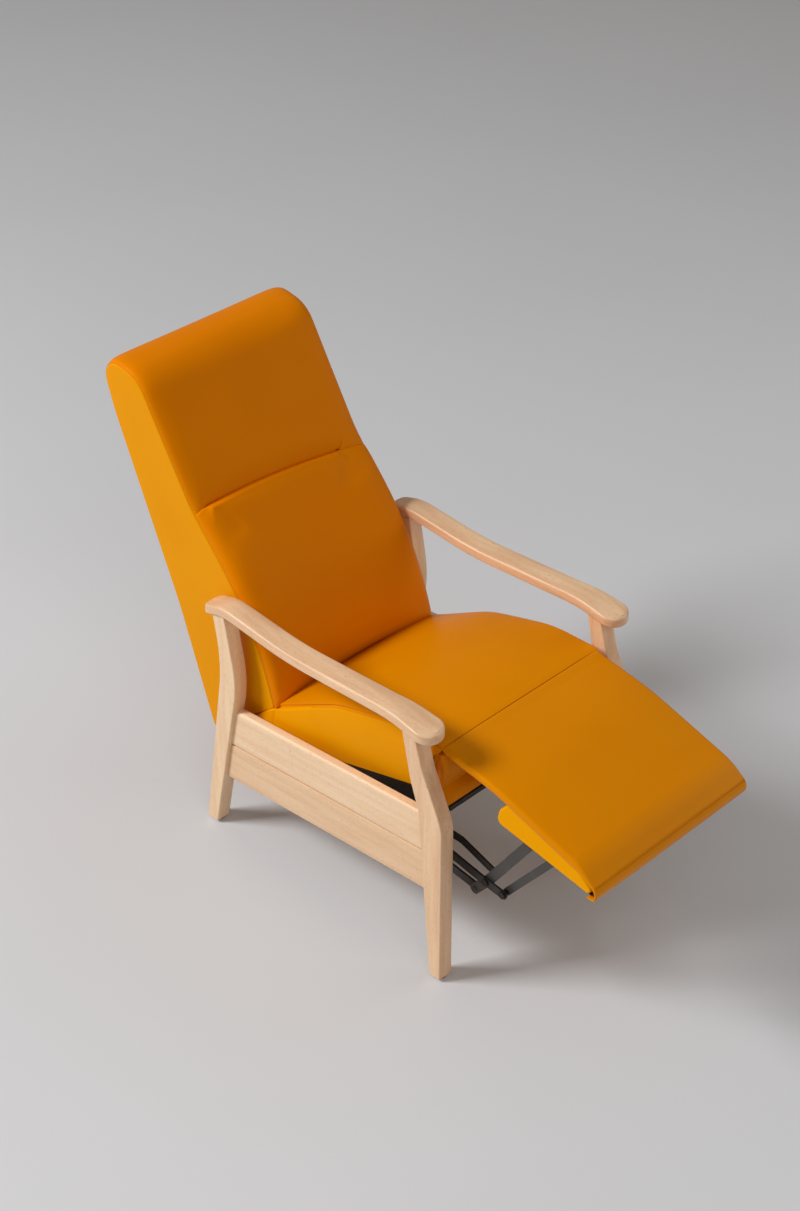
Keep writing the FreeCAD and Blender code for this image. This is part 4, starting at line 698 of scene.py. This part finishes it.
seat = stuffed_piece("seat_cushion_vinyl", cover, base, SEAT_BASE_HALF, vinyl, "vinyl", "seat",
                     "seat_cushion")
# The seat's side panels get the lit copy of the vinyl: painted light on the sides.
seat.data.materials.append(lit_side_vinyl)
middles = np.empty(len(seat.data.polygons) * 3)
seat.data.polygons.foreach_get("center", middles)
seat.data.polygons.foreach_set("material_index", (np.abs(middles[::3]) > SEAT_HALF).astype(int))
rows = slice(THREAD_START, np.argmax(back[:, seams[0]] > THREAD_END))
for number, line in enumerate((seams[0] + THREAD_ASIDE, seams[1] - THREAD_ASIDE)):
    stitches("seat_seam_thread_%d" % number, cover[rows, line], normal[rows, line], thread, "seat")

# Seat front: a padded band below the front seam, in two panels sewn together one above the other.
# It is stretched over the wood rail and topstitched beside its seams.
BAND_HALF = 0.2455
BAND_EDGE = 0.003
BAND_POINTS, BAND_THREAD_ROWS = 40, 3
CORNER_INSETS, CORNER_ROWS = (0.014, 0.022), 4
BAND_FACE = [(0.0125, -0.0125), (0.016, -0.055), (0.0395, -0.099), (0.0285, -0.120), (0.031, -0.142)]
BAND_BACK = [(0.050, -0.142), (0.0595, -0.099), (0.032, -0.0125)]
BAND_RADII = [0.004, 0.070, 0.003, 0.022, 0.004, 0.004, 0.004, 0.004]
outline = soft_loop(BAND_FACE + BAND_BACK, BAND_RADII, step=0.002, gap=0.006)
rings = slab(np.stack(on_seat(*outline.T), 1), -BAND_HALF, BAND_HALF, BAND_EDGE)
band = ring_piece("seat_front_vinyl", rings, vinyl, "vinyl", "seat", "seat_front_band")
face = soft_line(BAND_FACE, BAND_RADII[1:4], step=0.002, gap=0.004)
seam_row = np.argmin(np.abs(face[:, 1] - BAND_FACE[2][1]))
band_normal = np.array([0, -np.cos(SEAT_SLOPE), np.sin(SEAT_SLOPE)])
across = np.linspace(-BAND_HALF + BAND_EDGE, BAND_HALF - BAND_EDGE, BAND_POINTS)[:, None]
for number, row in enumerate((seam_row - BAND_THREAD_ROWS, seam_row + BAND_THREAD_ROWS)):
    path = np.concatenate([across, np.tile(on_seat(*face[row]), (BAND_POINTS, 1))], 1)
    stitches("band_thread_%d" % number, path, np.tile(band_normal, (BAND_POINTS, 1)), thread, "seat")
panel_face = np.stack(on_seat(*face[CORNER_ROWS:seam_row - CORNER_ROWS].T), 1)
panel_normal = np.tile(band_normal, (len(panel_face), 1))
for number, inset in enumerate(CORNER_INSETS):
    for side in (-1, 1):
        path = np.insert(panel_face, 0, side * (BAND_HALF - inset), 1)
        stitches("corner_thread_%d_%d" % (number, side > 0), path, panel_normal, thread, "seat")

# Back: one upholstered body on a wood frame. Its front cover runs from the lower edge up over the head
# and down to the rear seam, and a flat panel is sewn in on each side.
BACK_LEAN = np.radians(19.8)
HEEL = np.array([FRONT_OF_FEET + 0.808, 0.230])
BACK_HALF = 0.2545
PANEL_INNER = 0.2432
FRONT_LINE = [(0.098, 0.268), (0.306, 0.281), (0.578, 0.172), (0.884, 0.112), (0.947, 0.000), (0.882, -0.012)]
FRONT_LINE_RADII = [0.740, 0.300, 0.080, 0.045]
REAR_LINE = [(0.810, -0.016), (0.330, 0.008), (0.000, 0.000)]
REAR_LINE_RADII = [0.600, 0.900, 0.012]
PANEL_EDGE = 0.004
LOWER_ROUND, TOP_SEAM_ROUND = 0.008, 0.030


def on_back(up, out):
    """Side-view place of a point given up the rear face of the back and out to the front."""
    return (HEEL[0] + up * np.sin(BACK_LEAN) - out * np.cos(BACK_LEAN),
            HEEL[1] + up * np.cos(BACK_LEAN) + out * np.sin(BACK_LEAN))


panel_radii = [LOWER_ROUND] + FRONT_LINE_RADII + [TOP_SEAM_ROUND] + REAR_LINE_RADII
outline = np.stack(on_back(*soft_loop(FRONT_LINE + REAR_LINE, panel_radii, gap=0.010).T), 1)
# The side panels use the lit copy of the vinyl: painted light.
for side, low, high in (("left", -BACK_HALF, -PANEL_INNER), ("right", PANEL_INNER, BACK_HALF)):
    rings = slab(outline, low, high, PANEL_EDGE)
    panel = ring_piece(side + "_back_side_vinyl", rings, lit_side_vinyl, "vinyl", "backrest",
                       side + "_back_side_panel")

# Lumbar and head cushions: the two halves of the back's front cover over foam.
# They meet in a tuck that arches a little over the back and runs out in a plain seam at both sides.
FOLD_UP, FOLD_ARCH, FOLD_SAG = 0.571, 0.0157, 0.0182
HOOK_DROP, HOOK_FROM = 0.007, 0.86
SEAM_RISE, PLAIN_RISE, PLAIN_ROLL = 0.007, 0.012, 0.040
TUCK_DEPTH, PLAIN_DEPTH = 0.0018, 0.0006
TOE_ARCH, TOE_START = 0.022, 0.004
TUCK_LEFT, TUCK_RIGHT, TUCK_FADE = -0.93, 0.71, 0.08
LUMBAR_RISE, HEAD_RISE, TOP_RISE, TOP_RUN = 0.027, 0.014, 0.008, 0.10
LUMBAR_ROLL, HEAD_ROLL, TOE_ROLL, REAR_ROLL = 0.012, 0.045, 0.030, 0.012
BACK_FLATNESS = 16.0
LUMBAR_DISH, DISH_HALF, DISH_RUN = 0.007, 0.94, 0.160
EDGE_IN = 0.003
PUCKER = np.array([(0.170, 0.002), (0.190, 0.028)])
PUCKER_WIDTH, PUCKER_DEPTH = 0.0045, 0.0070
FOAM_REST, REST_HALF, REST_FOOT, REST_GAP = 0.058, 0.2375, 0.024, 0.001
REAR_REST, REAR_FACE = 0.0105, 0.002
BACK_PRESSURE, BACK_PUFF = 2.5, 0.002
THREAD_ROWS, THREAD_COLUMNS = slice(6, -6), (3, -4)
# The back's front covers use a redder copy of the vinyl: painted shade, as the front faces away from the
# lamp.
SHADED_FRONT_BRIGHT, SHADED_FRONT_DEEP = "E78400", "DF7B00"
STILE_TOP, REAR_PANEL_TOP = 0.811, 0.8825
front_line = soft_line(FRONT_LINE, FRONT_LINE_RADII, step=0.003, gap=0.003)
front_run = run_along(front_line)
front_ahead = np.gradient(front_line, front_run, axis=0)
front_out = unit(np.stack([-front_ahead[:, 1], front_ahead[:, 0]], 1))
highest = np.argmax(front_line[:, 0])
fold_run = np.interp(FOLD_UP, front_line[:highest, 0], front_run[:highest])


def rolled(distance, width):
    """How far a cover has risen at a distance from its sewn end: a quarter round of the given width."""
    return np.sqrt(1 - (1 - np.clip(distance / width, 0, 1)) ** 2)


def smooth(t):
    """A step from 0 to 1 that starts and ends level: t * t * (3 - 2 * t)."""
    t = np.clip(t, 0, 1)
    return t * t * (3 - 2 * t)


def back_cover(run, lift, share):
    """A cover on the front line: each point is moved out from it by lift."""
    spot = along_line(run, front_run, front_line) + along_line(run, front_run, front_out) * lift[..., None]
    x = np.broadcast_to((BACK_HALF - EDGE_IN) * share, run.shape)
    return np.stack([x, *on_back(spot[..., 0], spot[..., 1])], 2)


def pucker(cover):
    """A short crease that runs up from the right end of the tuck and fades: exp(-(distance / width) ** 2)."""
    share = cover[..., 0] / BACK_HALF
    up = (cover[..., 1] - HEEL[0]) * np.sin(BACK_LEAN) + (cover[..., 2] - HEEL[1]) * np.cos(BACK_LEAN)
    spot = np.stack([cover[..., 0], up - FOLD_UP + FOLD_ARCH * share ** 2 + FOLD_SAG * share], -1)
    line = PUCKER[1] - PUCKER[0]
    along = np.clip((spot - PUCKER[0]) @ line / (line @ line), 0, 1)
    far = np.linalg.norm(spot - PUCKER[0] - along[..., None] * line, axis=-1)
    return np.exp(-(far / PUCKER_WIDTH) ** 2) * (1 - along)


# Both covers are grids on the front line, with rows along it and columns across the back.
# Their lift off the line goes from the seam's to the full one over a quarter round beside the tuck.
share, fullness = crown(BACK_HALF, LUMBAR_RISE, BACK_FLATNESS, COVER_COLUMNS)
arch = -FOLD_ARCH * share ** 2 - FOLD_SAG * share
arch = arch - HOOK_DROP * np.clip((-share - HOOK_FROM) / (1 - HOOK_FROM), 0, 1) ** 2
blend = smooth(np.minimum(TUCK_RIGHT - share, share - TUCK_LEFT) / TUCK_FADE)
tuck = TUCK_DEPTH * blend + PLAIN_DEPTH
seam = (PLAIN_RISE + (SEAM_RISE - PLAIN_RISE) * blend) * fullness - tuck
step = steps(COVER_ROWS, COVER_CROWDING)[:, None]
toe = TOE_ARCH * (1 - share ** 2)
run = toe + (fold_run + arch - toe) * step
from_fold = fold_run + arch - run
dish = LUMBAR_DISH * np.clip(1 - (share / DISH_HALF) ** 2, 0, 1) ** 1.5 * smooth(from_fold / DISH_RUN)
full = (LUMBAR_RISE * fullness - dish) * rolled(run - toe + TOE_START, TOE_ROLL)
lift = seam + (full - seam) * rolled(from_fold, LUMBAR_ROLL + PLAIN_ROLL * (1 - blend))
lumbar = back_cover(run, lift, share)
run = (fold_run + arch) + (front_run[-1] - fold_run - arch) * step
from_fold = run - fold_run - arch
rise = np.interp(run, [front_run[-1] - TOP_RUN, front_run[-1]], [HEAD_RISE, TOP_RISE])
full = rise * fullness * rolled(front_run[-1] - run, REAR_ROLL)
lift = seam + (full - seam) * rolled(from_fold, HEAD_ROLL)
head = back_cover(run, lift, share)
# Shaded copy of the vinyl for the lumbar and head covers: painted shade.
shaded_front_vinyl = vinyl_cloth("upholstery_vinyl_front_painted_shade", SHADED_FRONT_BRIGHT, SHADED_FRONT_DEEP)
sewn = np.ones(lumbar.shape[:2], bool)
sewn[1:-1, 1:-1] = False
low_rest = np.array([[REST_FOOT, FOAM_REST], [FOLD_UP, FOAM_REST]])
high_rest = np.array([[FOLD_UP + REST_GAP, FOAM_REST], [STILE_TOP, FOAM_REST], [STILE_TOP, REAR_REST],
                      [REAR_PANEL_TOP, REAR_REST], [REAR_PANEL_TOP, REAR_FACE]])
for name, cover, rest, node, fill, crease in (
        ("lumbar_cushion_vinyl", lumbar, low_rest, "back_lumbar_cushion", 0.9, 0.0),
        ("head_cushion_vinyl", head, high_rest, "back_head_cushion", 0.85, PUCKER_DEPTH)):
    cover = finer(inflated(cover, sewn, BACK_PRESSURE, BACK_PUFF), FINE)
    normal = outward(cover)
    cover = cover - normal * (crease * pucker(cover))[..., None]
    rim = cover[:, [0, -1]] * (PANEL_INNER / BACK_HALF, 1, 1)
    wide = np.concatenate([rim[:, :1], cover, rim[:, 1:]], 1)
    base = np.stack(on_back(*even(rest, len(cover)).T), 1)
    cushion = stuffed_piece(name, wide, base, REST_HALF, shaded_front_vinyl, "vinyl", "backrest", node)
    for number, line in enumerate(THREAD_COLUMNS):
        stitches("%s_thread_%d" % (name, number), cover[THREAD_ROWS, line], normal[THREAD_ROWS, line], thread,
                 "backrest")

# Rear cover: a flat vinyl panel over the back's frame, sewn to the side panels and to the head cover.
# It is lightly padded and stands a few millimetres proud of its seams.
REAR_RISE, REAR_FLATNESS, REAR_END_ROLL = 0.007, 9.0, 0.018
REAR_TOP, REAR_FOOT = (0.879, -0.012), (0.010, 0.001)
REAR_BASE = 0.0095
REAR_PRESSURE, REAR_PUFF, REAR_FINE = 1.5, 0.005, 2
# The cover stands off the rear line by rise * fullness, and rolls down to it at both ends.
rear_line = soft_line([REAR_TOP, *REAR_LINE[:2], REAR_FOOT], REAR_LINE_RADII[:2], gap=0.004)
rear_line = even(rear_line, COVER_ROWS, COVER_CROWDING)
share, fullness = crown(BACK_HALF, REAR_RISE, REAR_FLATNESS, COVER_COLUMNS)
from_end = np.minimum(rear_line[0, 0] - rear_line[:, :1], rear_line[:, :1] - rear_line[-1, 0])
out = rear_line[:, 1:] - REAR_RISE * fullness * rolled(from_end, REAR_END_ROLL)
x = np.broadcast_to((BACK_HALF - EDGE_IN) * share, out.shape)
cover = np.stack([x, *on_back(np.broadcast_to(rear_line[:, :1], out.shape), out)], 2)
cover = finer(inflated(cover, sewn, REAR_PRESSURE, REAR_PUFF), REAR_FINE)
base = np.stack(on_back(np.linspace(REAR_TOP[0], REAR_FOOT[0], len(cover)), REAR_BASE), 1)
rear = stuffed_piece("back_rear_vinyl", cover, base, PANEL_INNER, vinyl, "vinyl", "backrest",
                     "back_rear_panel")

# Footrest flap: a thin padded sheet of vinyl, sewn to the front of the seat and rolled at its sides.
# It falls over the front of the padded board, and its hem, stitched once across, turns under into a clip.
FOOT_SLOPE = np.radians(12.5)
FOOT_HALF = 0.245
FLAP_LINE = [(-0.008, 0.000), (0.150, 0.0135), (0.388, -0.001), (0.4455, -0.026), (0.4430, -0.050),
             (0.424, -0.054)]
FLAP_RADII = [0.700, 0.120, 0.022, 0.006]
BEAD_SKIN, FLAP_SKIN, FALL_SKIN, HEM_SKIN = 0.0092, 0.0068, 0.0034, 0.0011
FLAP_FULLNESS = [1.1, 1.6, 1.6, 1.3, 1.0]
BEAD_RUN, FALL_RUN, UNDER_RUN = 0.030, 0.120, 0.060
FLAP_SHINE = 0.40
FLAP_CROWN = 0.008
FLAP_ROWS, FLAP_TOP_COLUMNS, ROLL_COLUMNS, FLAP_CROWDING = 210, 60, 11, 0.45
HEM_STITCH, END_START = 0.0495, 1e-4
HEM_GROOVE, HEM_GROOVE_WIDTH = 0.0030, 0.0016


def on_foot(out, up):
    """Side-view place of a point given out along the footrest from its seam and square to it."""
    return (SEAM[0] - out * np.cos(FOOT_SLOPE) - up * np.sin(FOOT_SLOPE),
            SEAM[1] - out * np.sin(FOOT_SLOPE) + up * np.cos(FOOT_SLOPE))


# The flap is a loop carried along its line: the lower face, a half round, the upper face and a half round.
# The upper face swells by crown * sin(pi * t ** 0.8) * (1 - f ** 4), t along the flap and f across it.
line = even(soft_line(FLAP_LINE, FLAP_RADII, step=0.002, gap=0.003), FLAP_ROWS, FLAP_CROWDING)
run = run_along(line)
ahead = np.gradient(line, run, axis=0)
upward = unit(np.stack([-ahead[:, 1], ahead[:, 0]], 1))
stations = [0, BEAD_RUN, run[-1] - FALL_RUN, run[-1] - UNDER_RUN, run[-1]]
skin = np.interp(run, stations, [BEAD_SKIN, FLAP_SKIN, FLAP_SKIN, FALL_SKIN, HEM_SKIN])
skin = skin * rolled(run + END_START, BEAD_SKIN) * rolled(run[-1] - run + END_START, HEM_SKIN)
thick = (skin * np.interp(run, stations, FLAP_FULLNESS))[:, None]
angle = np.linspace(-np.pi / 2, np.pi / 2, ROLL_COLUMNS)
share = np.linspace(-1, 1, FLAP_TOP_COLUMNS)[1:-1]
loop_x = np.concatenate([share, np.ones(ROLL_COLUMNS), share[::-1], -np.ones(ROLL_COLUMNS)])
round_x = np.concatenate([0 * share, np.cos(angle), 0 * share, np.cos(angle)])
loop_up = np.concatenate([-1 + 0 * share, np.sin(angle), 1 + 0 * share, np.sin(angle)[::-1]])
swell = FLAP_CROWN * np.sin(np.pi * (run / run[-1]) ** 0.8)[:, None]
x = loop_x * (FOOT_HALF - thick) + np.sign(loop_x) * round_x * thick
hem_run = run[-1] - HEM_STITCH
groove = HEM_GROOVE * np.exp(-((run - hem_run) / HEM_GROOVE_WIDTH) ** 2)[:, None]
rise = skin[:, None] + (loop_up - 1) * thick
rise = rise + np.where(loop_up == 1, swell * (1 - loop_x ** 4) - groove, 0)
spot = line[:, None] + upward[:, None] * rise[..., None]
rings = np.stack([x, *on_foot(spot[..., 0], spot[..., 1])], 2)
flap_vinyl = vinyl_cloth("upholstery_vinyl_flap", VINYL_BRIGHT, VINYL_DEEP, FLAP_SHINE)
flap = ring_piece("footrest_flap_vinyl", rings, flap_vinyl, "vinyl", "footrest", "leg_flap")
hem_row = np.argmin(np.abs(run - hem_run))
first = len(share) + ROLL_COLUMNS
path = rings[hem_row, first:first + len(share)]
way_out = np.array([0, *(np.array(on_foot(*upward[hem_row])) - SEAM)])
stitches("hem_thread", path, np.tile(way_out, (len(path), 1)), thread, "footrest")

# Footrest board: plywood wrapped in foam and vinyl, with a full round at its rear end.
# The flap lies on it, and the steel brackets of the links are screwed under it.
PAD_HALF = 0.242
PAD_EDGE = 0.0045
PAD_LEAN, PAD_MIDDLE = 0.6, -0.030
# The board's cover uses a brighter, yellower copy of the vinyl: painted light, as where the lamp falls on its
# side.
LIT_PAD_BRIGHT, LIT_PAD_DEEP = "F0A300", "E89A00"
PAD_LINE = [(0.169, -0.062), (0.424, -0.045), (0.430, -0.034), (0.381, -0.009), (0.269, 0.0035),
            (0.188, 0.006), (0.166, -0.030)]
PAD_RADII = [0.016, 0.0055, 0.0055, 0.030, 0.300, 0.014, 0.014]
outline = soft_loop(PAD_LINE, PAD_RADII, step=0.002, gap=0.006)
rings = slab(np.stack(on_foot(*outline.T), 1), -PAD_HALF, PAD_HALF, PAD_EDGE, steps=7)
up = (rings[..., 2] - SEAM[1]) * np.cos(FOOT_SLOPE) - (rings[..., 1] - SEAM[0]) * np.sin(FOOT_SLOPE)
rings[..., 0] *= 1 - PAD_LEAN * (up - PAD_MIDDLE)
# Lit copy of the vinyl for the board's cover: painted light.
lit_pad_vinyl = vinyl_cloth("upholstery_vinyl_pad_painted_light", LIT_PAD_BRIGHT, LIT_PAD_DEEP, SIDE_SHINE)
pad = ring_piece("footrest_board_vinyl", rings, lit_pad_vinyl, "vinyl", "footrest", "footrest_pad")

# Floor, light and camera: a plain pale floor, a soft key lamp on the left behind the chair,
# two weak softboxes in front of it, weak light from all round, and the camera at the photograph's place.
FLOOR_GREY, FLOOR_CLOUD = "D8D9DC", "D2D3D6"
FLOOR_HALF = 30.0
LAMP_AIM = (0.0, 0.0, 0.4)
KEY_PLACE, KEY_SIZE, KEY_POWER = (-5.506, 4.149, 6.185), 2.6, 630.0
RIGHT_PLACE, FRONT_PLACE, SOFTBOX_SIZE = (3.6, -2.6, 2.4), (-2.4, -3.6, 4.2), 3.0
RIGHT_POWER, FRONT_POWER = 45.0, 48.0
FILL_TINT, FILL_STRENGTH = (1.0, 0.94, 0.87, 1.0), 0.21
CAMERA_PLACE = (-2.775, -2.7503, 3.496)
CAMERA_TURN, CAMERA_DIP, CAMERA_ROLL = np.radians([44.5216, 35.7151, -0.1459])
FOCAL_PIXELS, FRAME_HEIGHT, SENSOR = 2175.65, 1211, 36.0


def floor_paint():
    """Painted concrete: pale grey, matt, clouded by a few percent over about a metre."""
    material, tree, place = new_material("pale_floor")
    clouds = add(tree, "TexNoise", {"Scale": 0.9, "Detail": 3.0}, {"Vector": place})
    paint = add(tree, "Mix", {6: colour(FLOOR_GREY), 7: colour(FLOOR_CLOUD)},
                {0: clouds.outputs["Fac"]}, data_type="RGBA")
    return finished(material, {"Roughness": 0.6}, paint)


corner = np.array([[-1, -1, 0], [1, -1, 0], [1, 1, 0], [-1, 1, 0]]) * FLOOR_HALF
mesh = bpy.data.meshes.new("floor")
mesh.from_pydata(corner.tolist(), [], [(0, 1, 2, 3)])
mesh.materials.append(floor_paint())
floor = placed("floor", mesh)


def posed(right, up, back, place):
    """A place in the room with its three axes, as a matrix."""
    turned = np.eye(4)
    turned[:3] = np.stack([right, up, back, place], 1)
    return Matrix(turned.tolist())


for name, place, size, power in (("key_lamp", KEY_PLACE, KEY_SIZE, KEY_POWER),
                                 ("right_softbox", RIGHT_PLACE, SOFTBOX_SIZE, RIGHT_POWER),
                                 ("front_softbox", FRONT_PLACE, SOFTBOX_SIZE, FRONT_POWER)):
    lamp = bpy.data.lights.new(name, "AREA")
    lamp.shape = "SQUARE"
    lamp.size = size
    lamp.energy = power
    back = unit(np.array(place) - LAMP_AIM)
    right = unit(np.cross((0, 0, 1), back))
    placed(name, lamp).matrix_world = posed(right, np.cross(back, right), back, place)
world = bpy.data.worlds.new("studio")
world.use_nodes = True
background = world.node_tree.nodes["Background"]
connect(world.node_tree, background, {"Color": FILL_TINT, "Strength": FILL_STRENGTH}, {})
bpy.context.scene.world = world
bpy.context.scene.view_settings.view_transform = "Standard"
ahead = np.array([np.sin(CAMERA_TURN) * np.cos(CAMERA_DIP), np.cos(CAMERA_TURN) * np.cos(CAMERA_DIP),
                  -np.sin(CAMERA_DIP)])
right = unit(np.cross(ahead, (0, 0, 1)))
up = np.cross(right, ahead)
right, up = (right * np.cos(CAMERA_ROLL) + up * np.sin(CAMERA_ROLL),
             up * np.cos(CAMERA_ROLL) - right * np.sin(CAMERA_ROLL))
lens = bpy.data.cameras.new("camera")
lens.sensor_width = SENSOR
lens.lens = FOCAL_PIXELS / FRAME_HEIGHT * SENSOR
camera = placed("camera", lens)
camera.matrix_world = posed(right, up, -ahead, CAMERA_PLACE)
bpy.context.scene.camera = camera
